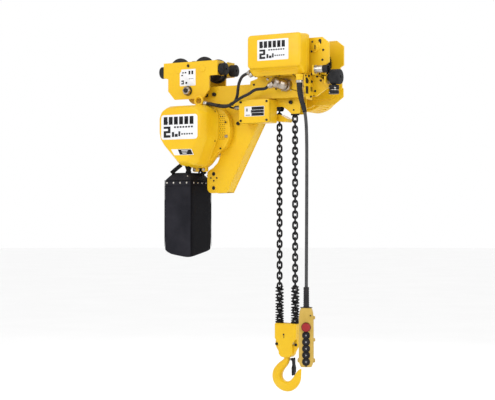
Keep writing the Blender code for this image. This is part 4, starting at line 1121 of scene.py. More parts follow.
def leads():
    """The control and motor leads with their ties and glands, and the limit box's short lead."""
    last = PLUG_MOUTH - PLUG_WAY * 0.012 + PLUG_LEAD * 0.04
    to_plug = MOTOR_LEAD + [tuple(last + PLUG_LEAD * 0.018), tuple(last)]
    for name, route in (("control_lead", CONTROL_LEAD), ("motor_lead", to_plug)):
        bm = bmesh.new()
        sweep(bm, smooth_route(route, 90), LEAD_R, 16)
        piece(name + "_cable", bm, SHEATH, nodes=[name])
    bm = bmesh.new()
    for x, y, z, turn in ((-0.09, -0.1025, -0.1312, 0.0), (-0.018, -0.111, -0.126, 0.35)):
        band = []
        for a in around(40):
            local = Vector((0, 0.0135 * math.cos(a), 0.0083 * math.sin(a)))
            band.append(Vector((x, y, z)) + Matrix.Rotation(-turn, 3, "Y") @ local)
        sweep(bm, band, 0.0011, 8, close=True)
        block(bm, (x - 0.0025, y - 0.0165, z - 0.0025), (x + 0.0025, y - 0.012, z + 0.0025))
    piece("cable_ties", bm, BLACK_PLASTIC)
    bm = bmesh.new()
    a, b = Vector(CONTROL_LEAD[-1]), Vector(CONTROL_LEAD[-2])
    way = (a - b).normalized()
    gland = [(0, 0), (0.0088, 0), (0.011, 0.0035), (0.011, 0.01), (0.013, 0.0105),
             (0.013, 0.0155), (0, 0.0155)]
    lathe(bm, gland, a - way * 0.004, way, 6)
    for route in (CONTROL_LEAD, MOTOR_LEAD):
        a, b = Vector(route[0]), Vector(route[1])
        lathe(bm, gland, b.lerp(a, 0.35), (a - b).normalized(), 24)
    lathe(bm, [(0, 0), (0.009, 0), (0.009, 0.013), (0.0105, 0.0135), (0.0105, 0.025),
               (0.0085, 0.033), (0, 0.033)], (0.0185, -0.09, -0.1435), (-1, 0, 0), 24)
    piece("lead_glands", bm, ZINC, slot="connector_metal", bevel=0.0003)
    bm = bmesh.new()
    tail = [(-0.012, -0.09, -0.1435), (-0.026, -0.0905, -0.143), (-0.042, -0.094, -0.137),
            (-0.056, -0.098, -0.131)]
    sweep(bm, smooth_route(tail, 20), 0.0042, 12)
    piece("limit_lead_cable", bm, SHEATH)
    bm = bmesh.new()
    top = Vector(GLAND)
    collar = [(0, -0.0265), (0.0185, -0.0265), (0.0185, -0.017), (0.0165, -0.016), (0.0165, -0.003),
              (0.015, -0.001), (0, -0.001)]
    lathe(bm, collar, top, (0, 0, -1), 6)
    piece("pendant_gland_collar", bm, YELLOW, bevel=0.0004)
    bm = bmesh.new()
    lathe(bm, stud(0.0152, 0.009, 0.0145, 0.0105), top,
          (0, 0, -1), 36)
    piece("pendant_gland", bm, ZINC, slot="connector_metal", bevel=0.0004)


def safety_wire():
    """The thin strain wire that carries the pendant's weight beside its sleeve."""
    route = [(0.3655, -0.148, -0.03), (0.369, -0.155, -0.07), (0.3755, -0.164, -0.11),
             (0.388, -0.178, -0.15), (0.401, -0.19, -0.185)]
    bm = bmesh.new()
    sweep(bm, smooth_route(route, 40), 0.0013, 8)
    piece("safety_wire", bm, ZINC, slot="connector_metal")


# ---- limit switch ---------------------------------------------------------------------------------
LIMIT_LOW = (0.0175, -0.2165)
LIMIT_HIGH = (0.1735, -0.1105)
LEVER_AXIS = (0.164, -0.19)


def limit_switch():
    """The limit switch box's lid with its seal and screws, and the lever's two pin stubs."""
    bm = bmesh.new()
    outline = rounded(LIMIT_LOW, LIMIT_HIGH, 0.007, 6)
    casting(bm, outline, [(-0.0985, 0.0)] + round_over(-0.099, -0.11, 0.003, 4)[1:])
    piece("limit_lid_pressing", bm, YELLOW, nodes=["limit_lid"])
    bm = bmesh.new()
    seal = [Vector((x, -0.098, z)) for x, z in inset(outline, 0.0006)]
    sweep(bm, seal, 0.001, 6, close=True)
    piece("limit_lid_seal", bm, RUBBER)
    bm = bmesh.new()
    for x in (LIMIT_LOW[0] + 0.011, LIMIT_HIGH[0] - 0.011):
        for z in (LIMIT_LOW[1] + 0.011, LIMIT_HIGH[1] - 0.011):
            hex_bolt(bm, (x, -0.1098, z), (0, -1, 0), 0.0042, socket=True)
    piece("limit_lid_screws", bm, DARK_IRON)
    bm = bmesh.new()
    for side in (-1, 1):
        pin = disc(0.004, 0.0276, 0.0185)
        lathe(bm, pin, (LEVER_AXIS[0], 0, LEVER_AXIS[1]), (0, side, 0), 20)
    piece("limit_lever_pin", bm, STEEL, "limit_lever")


# ---- hoist body -----------------------------------------------------------------------------------
COVER_RIM = [
    (-0.319, -0.125), (-0.156, -0.125), (-0.13, -0.138), (-0.115, -0.165),
    (-0.1143, -0.21), (-0.116, -0.277), (-0.163, -0.383), (-0.175, -0.4),
    (-0.192, -0.408), (-0.254, -0.408), (-0.27, -0.4), (-0.34, -0.32),
    (-0.363, -0.285), (-0.368, -0.25), (-0.368, -0.185), (-0.356, -0.148),
]
COVER_FACE = [
    (-0.317, -0.139), (-0.17, -0.139), (-0.148, -0.148), (-0.136, -0.168),
    (-0.133, -0.21), (-0.136, -0.275), (-0.19, -0.356), (-0.196, -0.376),
    (-0.205, -0.388), (-0.248, -0.388), (-0.262, -0.378), (-0.33, -0.31),
    (-0.35, -0.28), (-0.356, -0.25), (-0.356, -0.185), (-0.344, -0.156),
]
CASE = [
    (-0.33, -0.124), (-0.15, -0.124), (-0.095, -0.142), (-0.06, -0.185),
    (-0.052, -0.23), (-0.056, -0.275), (-0.078, -0.318), (-0.123, -0.345),
    (-0.166, -0.395), (-0.19, -0.412), (-0.256, -0.412), (-0.345, -0.33),
    (-0.372, -0.277), (-0.372, -0.18),
]
CASE_Y = (-0.07, -0.0345)
HOIST_AXIS = (-0.225, -0.252)
COVER_BOLTS = ((-0.358, -0.165), (-0.124, -0.156), (-0.126, -0.29), (-0.205, -0.403), (-0.36, -0.283))


def hoist_cover():
    """The domed cover on the hoist's near face, with its bosses and screws."""
    rim = fillet(COVER_RIM, 0.03, 5)
    face = fillet(COVER_FACE, 0.026, 5)
    bm = bmesh.new()
    profile = [
        (-0.0703, 0.0, 0.0), (-0.0706, 0.0, -0.002), (-0.0716, 0.0, -0.003), (-0.079, 0.0, -0.003),
        (-0.0802, 0.0, -0.0022), (-0.0806, 0.0, 0.0), (-0.083, 0.0, 0.0018), (-0.15, 0.0, 0.0026),
        (-0.159, 0.03, 0.0028), (-0.165, 0.12, 0.0024), (-0.174, 0.34, 0.0018),
        (-0.182, 0.56, 0.0014), (-0.189, 0.76, 0.001), (-0.1925, 0.88, 0.001),
        (-0.1955, 0.95, 0.0014), (-0.1978, 1.0, 0.0022), (-0.1992, 1.0, 0.0042),
        (-0.2, 1.0, 0.0076), (-0.2001, 1.0, 0.013),
    ]
    loft(bm, [standing(inset(match(rim, face, share), drop), y) for y, share, drop in profile])
    piece("hoist_cover_casting", bm, YELLOW, nodes=["hoist_cover"], sharp=40)
    bm = bmesh.new()
    for x, z in COVER_BOLTS:
        lathe(bm, stud(0.0075, 0.01, 0.0066, 0.0118),
              (x, -0.072, z), (0, -1, 0), 24)
    piece("hoist_cover_bosses", bm, YELLOW)
    bm = bmesh.new()
    for x, z in COVER_BOLTS:
        hex_bolt(bm, (x, -0.0836, z), (0, -1, 0), 0.004, socket=True, washer=False)
    piece("hoist_cover_screws", bm, DARK_IRON)


def hoist_gearcase():
    """The gearcase behind the cover: a joint line, lugs and bolts, with dark dots in rows for its vent holes
    and a dark band in the gap between it and the frame, both painted shade.
    """
    bm = bmesh.new()
    outline = fillet(CASE, 0.034, 5)
    sections = list(reversed(round_over(-0.052, CASE_Y[1], 0.003, 4)[1:]))
    sections += [(-0.0535, 0.0), (-0.054, 0.0012), (-0.0552, 0.0012), (-0.0557, 0.0)]
    sections += round_over(-0.058, CASE_Y[0], 0.004, 5)[1:]
    casting(bm, outline, sections)
    piece("hoist_gearcase_casting", bm, YELLOW, nodes=["hoist_gearcase"])
    # Painted shade: the vent holes are drawn as dark discs standing proud of the casting.
    bm = bmesh.new()
    for row in range(13):
        for column in range(3):
            x = -0.106 + 0.011 * column + 0.004 * (row % 2)
            z = -0.168 - 0.0095 * row
            r = 0.0034 if row == 1 and column < 2 else 0.0021
            lathe(bm, [(0, 0), (r, 0), (r * 0.8, 0.0006), (0, 0.0006)], (x, CASE_Y[0], z), (0, -1, 0), 12)
    piece("hoist_gearcase_vents", bm, DARK_IRON)
    bm = bmesh.new()
    for x, z in ((-0.073, -0.205), (-0.07, -0.27), (-0.1, -0.325)):
        lathe(bm, [(0, 0), (0.0085, 0), (0.008, 0.003), (0, 0.003)], (x, CASE_Y[0], z), (0, -1, 0),
              24)
    for k in range(2):
        x = -0.245 + 0.05 * k
        lug = rounded((x - 0.012, -0.43), (x + 0.012, -0.402), 0.008, 5)
        casting(bm, lug, both_sides(-0.067, -0.045, 0.002, 3))
    piece("hoist_gearcase_lugs", bm, YELLOW)
    bm = bmesh.new()
    hex_bolt(bm, (-0.07, CASE_Y[0] - 0.003, -0.27), (0, -1, 0), 0.0062)
    for k in range(2):
        hex_bolt(bm, (-0.245 + 0.05 * k, -0.067, -0.42), (0, -1, 0), 0.0055)
    hex_bolt(bm, (-0.188, -0.056, -0.411), (0, 0, -1), 0.005)
    piece("hoist_gearcase_bolts", bm, ZINC, bevel=0.0003)
    bm = bmesh.new()
    for x, z in ((-0.073, -0.205), (-0.1, -0.325)):
        hex_bolt(bm, (x, CASE_Y[0] - 0.003, z), (0, -1, 0), 0.004, socket=True, washer=False)
    # Painted shade: a dark flat band across the shadowed gap between the gearcase and the frame.
    strap(bm, [(-0.113, -0.01, -0.348), (-0.156, -0.01, -0.401), (-0.208, -0.01, -0.448)],
          0.02, 0.004, (0, 1, 0))
    piece("gearcase_bolts_and_gap_shade", bm, DARK_IRON)


def hoist_motor():
    """The hoist's motor on the far side: flange, ribbed barrel and end cover."""
    x, z = HOIST_AXIS
    start_y, middle, end = -CASE_Y[1], 0.195, 0.245
    bm = bmesh.new()
    flange = [(0, start_y), (0.11, start_y), (0.112, start_y + 0.002), (0.112, start_y + 0.02),
              (0.11, start_y + 0.022), (0.099, start_y + 0.024), (0, start_y + 0.024)]
    lathe(bm, flange, (x, 0, z), (0, 1, 0), 80)
    piece("hoist_motor_flange", bm, YELLOW, nodes=["hoist_motor"])
    bm = bmesh.new()
    fins = [(0, start_y + 0.0235), (0.0985, start_y + 0.0235), (0.104, start_y + 0.03)]
    fins += [(0.104, start_y + 0.03 + 0.0145 * k) for k in range(1, 9)]
    fins += [(0.1025, middle - 0.008), (0.0985, middle - 0.0005), (0, middle - 0.0005)]
    lathe(bm, fins, (x, 0, z), (0, 1, 0), 288, ribbed(48, 0.0085, 0.36, 0.099))
    piece("hoist_motor_barrel", bm, YELLOW, bevel=0.0004)
    bm = bmesh.new()
    cap = [(0, middle - 0.001), (0.102, middle - 0.001), (0.106, middle + 0.001),
           (0.106, end - 0.03), (0.104, end - 0.021), (0.099, end - 0.014),
           (0.092, end - 0.0085), (0.082, end - 0.004), (0.07, end - 0.001), (0.06, end)]
    for k in range(3):
        r = 0.052 - 0.013 * k
        cap += [(r, end), (r - 0.0008, end - 0.003), (r - 0.0052, end - 0.003), (r - 0.006, end)]
    cap += [(0.012, end), (0, end)]
    lathe(bm, cap, (x, 0, z), (0, 1, 0), 80)
    piece("hoist_end_cover_casting", bm, YELLOW, nodes=["hoist_end_cover"])
    bm = bmesh.new()
    for k in range(4):
        a = math.radians(45 + 90 * k)
        hex_bolt(bm, (x + 0.083 * math.cos(a), end - 0.0046, z + 0.083 * math.sin(a)), (0, 1, 0), 0.0045)
    for k in range(6):
        a = math.radians(30 + 60 * k)
        at = (x + 0.105 * math.cos(a), start_y + 0.022, z + 0.105 * math.sin(a))
        hex_bolt(bm, at, (0, 1, 0), 0.0048)
    piece("hoist_motor_bolts", bm, ZINC, bevel=0.0003)


EYE_AT = Vector((-0.2005, -0.102, -0.099))


def eye_bolt():
    """The lifting eye on the hoist."""
    bm = bmesh.new()
    ring = [EYE_AT + Vector((0.0195 * math.cos(a), 0, 0.0195 * math.sin(a) - 0.005))
            for a in around(56)]
    sweep(bm, ring, 0.0054, 16, close=True)
    foot = [(0, 0.0), (0.012, 0.0), (0.012, 0.0022), (0.01, 0.0032), (0.0072, 0.006),
            (0.006, 0.009), (0, 0.009)]
    lathe(bm, foot, (EYE_AT.x, EYE_AT.y, -0.1256), (0, 0, 1), 32)
    piece("eye_bolt_forging", bm, YELLOW, nodes=["eye_bolt"])


# ---- chain bag --------------------------------------------------------------------------------------
BAG_LOW = (-0.384, -0.12, -0.827)
BAG_HIGH = (-0.231, 0.067, -0.47)
BAG_FLAP_TOP = -0.434
BAG_MIDDLE = ((BAG_LOW[0] + BAG_HIGH[0]) / 2, (BAG_LOW[1] + BAG_HIGH[1]) / 2)
BAG_CORNERS = (11, 12, 35, 36, 59, 60, 83, 84)     # places in a ring, of 96, on each side of a corner


def bag_point(turn, out):
    """A point of the bag's wall in plan, as shares of its half sizes: a round-cornered rectangle."""
    c, s = math.cos(turn), math.sin(turn)
    power = 0.17
    hx, hy = (BAG_HIGH[0] - BAG_LOW[0]) / 2, (BAG_HIGH[1] - BAG_LOW[1]) / 2
    return Vector(((hx + out) * math.copysign(abs(c) ** power, c),
                   (hy + out) * math.copysign(abs(s) ** power, s), 0))


def bag_ring(z, out, count=96):
    """A ring round the bag's wall, out by a small amount all round."""
    middle = Vector((*BAG_MIDDLE, z))
    return [middle + bag_point(2 * math.pi * (k + 0.5) / count, out) for k in range(count)]


def bag_foot(p):
    """How far the bag's bottom hangs above its lowest corner, which the stored chain pulls down."""
    u = (p.x - BAG_LOW[0]) / (BAG_HIGH[0] - BAG_LOW[0])
    v = (p.y - BAG_LOW[1]) / (BAG_HIGH[1] - BAG_LOW[1])
    left = max(0.0, (0.6 - u) / 0.6) ** 1.6
    back = min(1.0, max(0.0, v)) ** 1.15
    return 0.031 * min(1.0, math.hypot(left, back))


def chain_bag():
    """A tall fabric bag: bellied by the chain, creased, hanging lowest at one corner."""
    levels = 46
    rings = []
    for k in range(levels + 1):
        t = k / levels
        belly = 0.0022 * math.sin(math.pi * min(1.0, t * 1.02)) ** 0.8 - 0.001
        ring = bag_ring(0.0, belly)
        for p in ring:
            p.z = BAG_HIGH[2] + (BAG_LOW[2] + 0.012 + bag_foot(p) - BAG_HIGH[2]) * t
        rings.append(ring)
    for k in range(1, 6):
        a = math.pi / 2 * k / 5
        ring = bag_ring(0.0, -0.0006 - 0.012 * (1 - math.cos(a)))
        for p in ring:
            p.z = BAG_LOW[2] + 0.012 * (1 - math.sin(a)) + bag_foot(p)
        rings.append(ring)
    for drop in (0.024, 0.038, 0.052, 0.064):
        ring = bag_ring(0.0, -drop)
        for p in ring:
            p.z = BAG_LOW[2] + 0.0005 + bag_foot(p)
        rings.append(ring)
    for ring in rings:
        for p in ring:
            fold = math.sin(p.x * 61 + p.z * 23) * math.sin(p.y * 47 - p.z * 31)
            small = math.sin(p.z * 140 + p.x * 90) * math.sin(p.y * 110 + p.z * 60)
            depth = 0.0012 * fold + 0.0004 * small
            away = Vector((p.x - BAG_MIDDLE[0], p.y - BAG_MIDDLE[1], 0)).normalized()
            p += away * depth * min(1.0, (BAG_HIGH[2] - p.z) * 12)
    bm = bmesh.new()
    loft(bm, rings, caps=(False, True))
    bag = piece("chain_bag_cloth", bm, CLOTH, nodes=["chain_bag"], sharp=80)
    wall = bag.modifiers.new("Cloth thickness", "SOLIDIFY")
    wall.thickness = 0.0022
    wall.offset = -1
    smooth = bag.modifiers.new("Smooth", "SUBSURF")
    smooth.levels = smooth.render_levels = 1


def bag_fittings():
    """The bag's hem, corner seams and rivets, its inward top flaps and its four straps."""
    bm = bmesh.new()
    for z, r in ((BAG_HIGH[2] - 0.001, 0.0018), (BAG_HIGH[2] - 0.026, 0.0008)):
        sweep(bm, bag_ring(z, 0.0006), r, 8, close=True)
    for k in BAG_CORNERS:
        line = [bag_ring(BAG_HIGH[2] - 0.004 - 0.016 * j, 0.0012)[k] for j in range(20)]
        sweep(bm, line, 0.0007, 6)
    piece("chain_bag_hem", bm, STRAP)
    bm = bmesh.new()
    for k in range(4):
        x = BAG_LOW[0] + 0.02 + k * 0.036
        for y, way in ((BAG_LOW[1], -1), (BAG_HIGH[1], 1)):
            dome(bm, (x, y - 0.0005 * way, BAG_HIGH[2] - 0.011), (0, way, 0), 0.0046)
    for k in range(5):
        y = BAG_LOW[1] + 0.024 + k * 0.035
        for x, way in ((BAG_LOW[0], -1), (BAG_HIGH[0], 1)):
            dome(bm, (x - 0.0005 * way, y, BAG_HIGH[2] - 0.011), (way, 0, 0), 0.0042)
    for x, y, z in ((-0.352, -0.101, -0.4515), (-0.318, -0.101, -0.456), (-0.262, -0.1015, -0.45)):
        dome(bm, (x, y, z), (0, -1, 0.5), 0.0038)
    piece("chain_bag_rivets", bm, ZINC)
    bm = bmesh.new()
    rings = []
    for z, drop in ((BAG_HIGH[2] - 0.003, 0.0012), (BAG_HIGH[2] + 0.004, 0.0035),
                    (BAG_HIGH[2] + 0.018, 0.015), (BAG_FLAP_TOP - 0.003, 0.028),
                    (BAG_FLAP_TOP, 0.03), (BAG_FLAP_TOP - 0.002, 0.0315),
                    (BAG_HIGH[2] + 0.018, 0.0175), (BAG_HIGH[2] + 0.002, 0.006),
                    (BAG_HIGH[2] - 0.003, 0.004)):
        rings.append(bag_ring(z, -drop))
    loft(bm, rings, close=True)
    piece("chain_bag_flaps", bm, CLOTH)
    bm = bmesh.new()
    for x_low, x_high in ((-0.356, -0.316), (-0.256, -0.286)):
        for y_low, y_high in ((-0.096, -0.072), (0.042, 0.006)):
            a, b = Vector((x_low, y_low, BAG_FLAP_TOP - 0.002)), Vector((x_high, y_high, -0.396))
            strap(bm, [a, a.lerp(b, 0.4) + Vector((0, 0, 0.001)), b], 0.02, 0.007)
    piece("chain_bag_straps", bm, STRAP)


def dome(bm, at, axis, radius, index=0):
    """A round rivet head."""
    profile = [(0, 0), (radius, 0), (radius * 0.94, radius * 0.22), (radius * 0.66, radius * 0.42),
               (radius * 0.3, radius * 0.52), (0, radius * 0.54)]
    lathe(bm, profile, at, axis, 16, index=index)


def strap(bm, points, width, thick, across=(1, 0, 0)):
    """A flat band along points."""
    rings = []
    line = smooth_route(points, 12)
    last = len(line) - 1
    for k, p in enumerate(line):
        way = (Vector(line[min(k + 1, last)]) - Vector(line[max(k - 1, 0)])).normalized()
        u = Vector(across)
        u = (u - way * u.dot(way)).normalized()
        v = way.cross(u)
        rings.append([Vector(p) + u * width / 2 * a + v * thick / 2 * b
                      for a, b in ((-1, -1), (1, -1), (1, 1), (-1, 1))])
    loft(bm, rings)


# ---- load chain -----------------------------------------------------------------------------------
BAG_CHAIN_X = LOAD_AXIS[0] - LOAD_R
FALL_TWIST = math.radians(30)
HOOK_LIFT = next(j for j in frame["joints"] if j["name"] == "hook_lift")["range_m"][1]


def chain_line():
    """The chain's way from its anchor to the bag, in stretches that each name their group:
    a line with its two ends, or an arc with its centre, radius and two angles."""
    a, b = Vector(LOAD_AXIS), Vector(GUIDE_AXIS)
    lean = math.asin((LOAD_R - GUIDE_R) / (b - a).length)
    up = math.atan2(b.y - a.y, b.x - a.x) + math.pi / 2 - lean
    run_start = b + Vector((math.cos(up), math.sin(up))) * GUIDE_R
    run_end = a + Vector((math.cos(up), math.sin(up))) * LOAD_R
    return [
        ("dead", "line", (DEAD_X, ANCHOR_Z), (DEAD_X, BLOCK_AXIS[1])),
        ("block", "arc", BLOCK_AXIS, BLOCK_R, math.pi, 2 * math.pi),
        ("live", "line", (LIVE_X, BLOCK_AXIS[1]), (LIVE_X, GUIDE_AXIS[1])),
        ("top", "arc", GUIDE_AXIS, GUIDE_R, 0.0, up),
        ("top", "line", tuple(run_start), tuple(run_end)),
        ("top", "arc", LOAD_AXIS, LOAD_R, up, math.pi),
        ("top", "line", (BAG_CHAIN_X, LOAD_AXIS[1]), (BAG_CHAIN_X, -0.64)),
    ]


def chain_places():
    """Each link's stretch, middle and direction, a pitch apart along the whole way."""
    made = []
    left = PITCH / 2
    for stretch in chain_line():
        if stretch[1] == "line":
            a, b = Vector(stretch[2]), Vector(stretch[3])
            long = (b - a).length
        else:
            long = abs(stretch[5] - stretch[4]) * stretch[3]
        while left <= long:
            if stretch[1] == "line":
                p, way = a + (b - a) * left / long, (b - a).normalized()
            else:
                sign = 1 if stretch[5] > stretch[4] else -1
                turn = stretch[4] + sign * left / stretch[3]
                out = Vector((math.cos(turn), math.sin(turn)))
                p, way = Vector(stretch[2]) + out * stretch[3], Vector((-out.y, out.x)) * sign
            made.append((stretch[0], p, way))
            left += PITCH
        left -= long
    return made


def add_link(bm, p, way, flat, twist=0.0):
    """One welded oval link; flat ones lie across the chain wheel, and twist turns it about its way."""
    u = Vector((way.x, 0, way.y))
    v = Vector((0, 1, 0)) if flat else Vector((-way.y, 0, way.x))
    v = Matrix.Rotation(twist, 3, u) @ v
    straight = PITCH / 2 + WIRE_R - LINK_HALF
    ring = []
    for side in (1, -1):
        for k in range(7):
            a = -math.pi / 2 + math.pi * k / 6
            along = straight + LINK_HALF * math.cos(a)
            across = LINK_HALF * math.sin(a)
            ring.append(Vector((p.x, 0, p.y)) + (u * along + v * across) * side)
    sweep(bm, ring, WIRE_R, 8, close=True)


def twist_at(fall, z):
    """The slight twist that a hanging fall takes between its two ends."""
    if fall in ("top", "block"):
        return 0.0
    ends = min(1.0, max(0.0, (z + 1.15) / 0.1)) * min(1.0, max(0.0, (-0.09 - z) / 0.07))
    return (-FALL_TWIST if fall == "dead" else FALL_TWIST) * ends


def chain():
    """Links in groups. On the falls each group is given a whole number of pitch pairs by which it moves as
    the hook rises; the groups that move the whole lift ride the hook block, and those in between are left in
    place.
    """
    places = chain_places()
    steps = round(HOOK_LIFT / (2 * PITCH))
    groups = {}
    for fall in ("dead", "live"):
        members = [k for k, place in enumerate(places) if place[0] == fall]
        if fall == "live":
            members.reverse()
        pairs = (len(members) + 1) // 2
        for order, k in enumerate(members):
            move = round(steps * (order // 2) / (pairs - 1))
            groups.setdefault((fall, move), []).append(k)
    for k, place in enumerate(places):
        if place[0] == "block":
            groups.setdefault(("block", steps), []).append(k)
        elif place[0] == "top":
            groups.setdefault(("top", 0), []).append(k)
    stands_for = {("dead", 0): ["chain_dead"], ("live", 0): ["chain_live"], ("top", 0): ["chain_run"]}
    for (fall, move), members in sorted(groups.items()):
        bm = bmesh.new()
        for k in members:
            add_link(bm, places[k][1], places[k][2], k % 2 == 0, twist_at(fall, places[k][1].y))
        name = f"chain_{fall}_{move:02d}"
        body = "hook_block" if move == steps else "root"
        nodes = stands_for.get((fall, move), ())
        if 0 < move < steps:
            travelling_links(name, bm)
        else:
            piece(name, bm, BLACK_STEEL, body, nodes=nodes, sharp=60)


def travelling_links(name, bm):
    """Links that would rise by a share of the hook's lift: they are left at one place, on no body, with
    their transform baked in.
    """
    mesh = mesh_of(name, bm)
    mesh.materials.append(BLACK_STEEL)
    obj = link(name, mesh)
    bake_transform(obj)


# ---- sheaves --------------------------------------------------------------------------------------
def pocket_sheave(name, axis, pitch_r, flange_r, half_width, pockets):
    """A chain wheel: two flanges, a groove, and pockets for the links that lie flat."""
    bm = bmesh.new()

    def dip(r, a):
        if r > pitch_r - WIRE_R - 0.004:
            return r
        return r - 0.0022 * (0.5 + 0.5 * math.cos(a * pockets))

    seat = pitch_r - WIRE_R - 0.0045
    deep = pitch_r - 0.0145
    profile = [
        (0, half_width), (flange_r - 0.0015, half_width), (flange_r, half_width - 0.0012),
        (flange_r - 0.0005, 0.0146), (seat, 0.0142), (seat, 0.006), (deep, 0.0052),
        (deep, -0.0052), (seat, -0.006), (seat, -0.0142), (flange_r - 0.0005, -0.0146),
        (flange_r, -half_width + 0.0012), (flange_r - 0.0015, -half_width), (0, -half_width),
    ]
    lathe(bm, profile, (axis[0], 0, axis[1]), (0, 1, 0), 96, dip)
    piece(name + "_pocketed", bm, STEEL, name, nodes=[name], bevel=0.0003)


def sheaves():
    """The guide, load and block sheaves."""
    pocket_sheave("guide_sheave", GUIDE_AXIS, GUIDE_R, 0.0425, 0.0262, 4)
    pocket_sheave("load_sheave", LOAD_AXIS, LOAD_R, 0.049, 0.0262, 5)
    pocket_sheave("block_sheave", BLOCK_AXIS, BLOCK_R, 0.0458, 0.0158, 5)


# ---- hook block -----------------------------------------------------------------------------------
BLOCK_TOP = -1.119
BLOCK_HALF_Y = 0.025
SLOT_Y = 0.0165
BLOCK_SHAPE = [
    (0.054, BLOCK_TOP), (0.054, -1.187), (0.037, -1.209), (0.035, -1.222),
    (0.034, -1.258), (0.023, -1.27), (0.004, -1.274),
]
BLOCK_FLANGE = [
    (0.054, BLOCK_TOP), (0.054, -1.19), (0.057, -1.202), (0.057, -1.222),
    (0.035, -1.26), (0.0215, -1.27), (0.004, -1.274),
]
HOOK_HEAD_Z = -1.241


def block_outline(shape, corner=0.003):
    """The block's outline from its right half, with corner for the radius at its top."""
    x0 = BLOCK_AXIS[0]
    radii = [corner, 0.01, 0.01, 0.01, 0.012, 0.01, 0.01]
    left = [(-x, z) for x, z in reversed(shape)]
    points = [(x0 + x, z) for x, z in shape + left]
    return fillet(points, radii + radii[::-1], 5)


def cut_out(shape, cutter):
    """Cuts a solid out of a piece, and cleans the slivers that the cut leaves."""
    step = shape.modifiers.new("Hollow", "BOOLEAN")
    step.operation = "DIFFERENCE"
    step.object = cutter
    step.use_self = True
    bpy.context.view_layer.update()
    graph = bpy.context.evaluated_depsgraph_get()
    shape.data = bpy.data.meshes.new_from_object(shape.evaluated_get(graph))
    shape.modifiers.clear()
    clean = bmesh.new()
    clean.from_mesh(shape.data)
    bmesh.ops.remove_doubles(clean, verts=clean.verts, dist=3e-5)
    bmesh.ops.dissolve_degenerate(clean, edges=clean.edges, dist=1e-5)
    bmesh.ops.triangulate(clean, faces=[f for f in clean.faces if len(f.verts) > 4])
    clean.to_mesh(shape.data)
    clean.free()
    shape.data.shade_smooth()
    shape.data.set_sharp_from_angle(angle=math.radians(35))


def block_half(side):
    """One half of the block, a flange and a round-edged cheek, hollow for the sheave and the hook."""
    word = side_word(side)
    bm = bmesh.new()
    inner, outer = side * 0.00015, side * BLOCK_HALF_Y
    rim = side * 0.0085
    sections = [(inner, 0.0014), (inner + side * 0.0004, 0.0005), (inner + side * 0.0014, 0.0)]
    flange = sections + round_over(inner + side * 0.0016, rim, 0.0025, 4)[1:]
    casting(bm, block_outline(BLOCK_FLANGE), flange)
    half = piece(f"block_half_{word}_forging", bm, YELLOW, "hook_block", nodes=[f"block_half_{word}"],
                 sharp=40)
    bm = bmesh.new()
    cheek = [(rim - side * 0.003, 0.0006)] + round_over(rim - side * 0.001, outer, 0.0065, 6)
    casting(bm, block_outline(BLOCK_SHAPE, 0.0075), cheek)
    cheek_piece = piece(f"block_cheek_{word}", bm, YELLOW, "hook_block", sharp=40)
    hollow = bmesh.new()
    x0 = BLOCK_AXIS[0]
    deep = SLOT_Y + 0.0001
    room = arc(BLOCK_AXIS, 0.0505, 180, 360, 32)
    room = [(x0 - 0.0505, -1.05)] + room + [(x0 + 0.0505, -1.05)]
    loft(hollow, [standing(room, y) for y in (-side * 0.01, side * deep)])
    lathe(hollow, [(0, 0), (0.0172, 0), (0.0172, -0.02), (0.0144, -0.0201), (0.0144, -0.06),
                   (0, -0.06)], (x0, 0, -1.233), (0, 0, 1), 36)
    cutter = link(f"block_hollow_{word}", mesh_of("hollow", hollow))
    cut_out(half, cutter)
    cut_out(cheek_piece, cutter)
    bpy.data.objects.remove(cutter, do_unlink=True)


def block_fittings():
    """The block's bolts, and a small screw and mark on each cheek."""
    x0 = BLOCK_AXIS[0]
    bm = bmesh.new()
    for side in (-1, 1):
        for dx in (-0.049, 0.049):
            hex_bolt(bm, (x0 + dx, side * 0.0083, -1.214), (0, side, 0), 0.0062, socket=True,
                     washer=False)
        pan_screw(bm, (x0 - 0.006, side * (BLOCK_HALF_Y - 0.0002), -1.169), (0, side, 0), 0.004)
        low, high = span(side, BLOCK_HALF_Y - 0.0006, BLOCK_HALF_Y + 0.0006)
        block(bm, (x0 - 0.006, low, -1.186), (x0 - 0.003, high, -1.17))
    piece("block_bolts", bm, DARK_IRON, "hook_block", bevel=0.0003)


def stop_springs():
    """Coil springs round the chain that meet the limit lever and the frame, closer wound low down."""
    for word, x in (("live", LIVE_X), ("dead", DEAD_X)):
        low, high = -1.116, -0.954
        turns, wire, mean = 13, 0.003, 0.0168
        count = turns * 20
        line = []
        for k in range(count + 1):
            t = k / count
            a = 2 * math.pi * turns * t
            line.append((x + mean * math.cos(a), mean * math.sin(a), low + (high - low) * t ** 1.25))
        bm = bmesh.new()
        sweep(bm, line, wire, 8)
        ring = [(x + mean * math.cos(a), mean * math.sin(a), low) for a in around(24)]
        sweep(bm, ring, wire, 8, close=True)
        piece(f"stop_spring_{word}_coil", bm, BLACK_STEEL, "hook_block", nodes=[f"stop_spring_{word}"],
              sharp=60)


HOOK_BEND = [
    (0.0, -1.2655, 0.0128), (-0.001, -1.28, 0.0138), (-0.011, -1.297, 0.017),
    (-0.033, -1.318, 0.0205), (-0.049, -1.343, 0.0235), (-0.05, -1.37, 0.024),
    (-0.036, -1.391, 0.0238), (-0.013, -1.403, 0.0236), (0.011, -1.403, 0.023),
    (0.033, -1.391, 0.0214), (0.048, -1.371, 0.0192), (0.0555, -1.351, 0.0145),
    (0.062, -1.335, 0.0092), (0.067, -1.3265, 0.0048),
]
HOOK_SECTION = [
    (1.0, 0.0), (0.97, 0.3), (0.87, 0.58), (0.7, 0.8), (0.48, 0.93), (0.34, 0.95), (0.14, 0.87),
    (-0.22, 0.74), (-0.6, 0.6), (-0.82, 0.46), (-0.95, 0.25), (-1.0, 0.0),
]


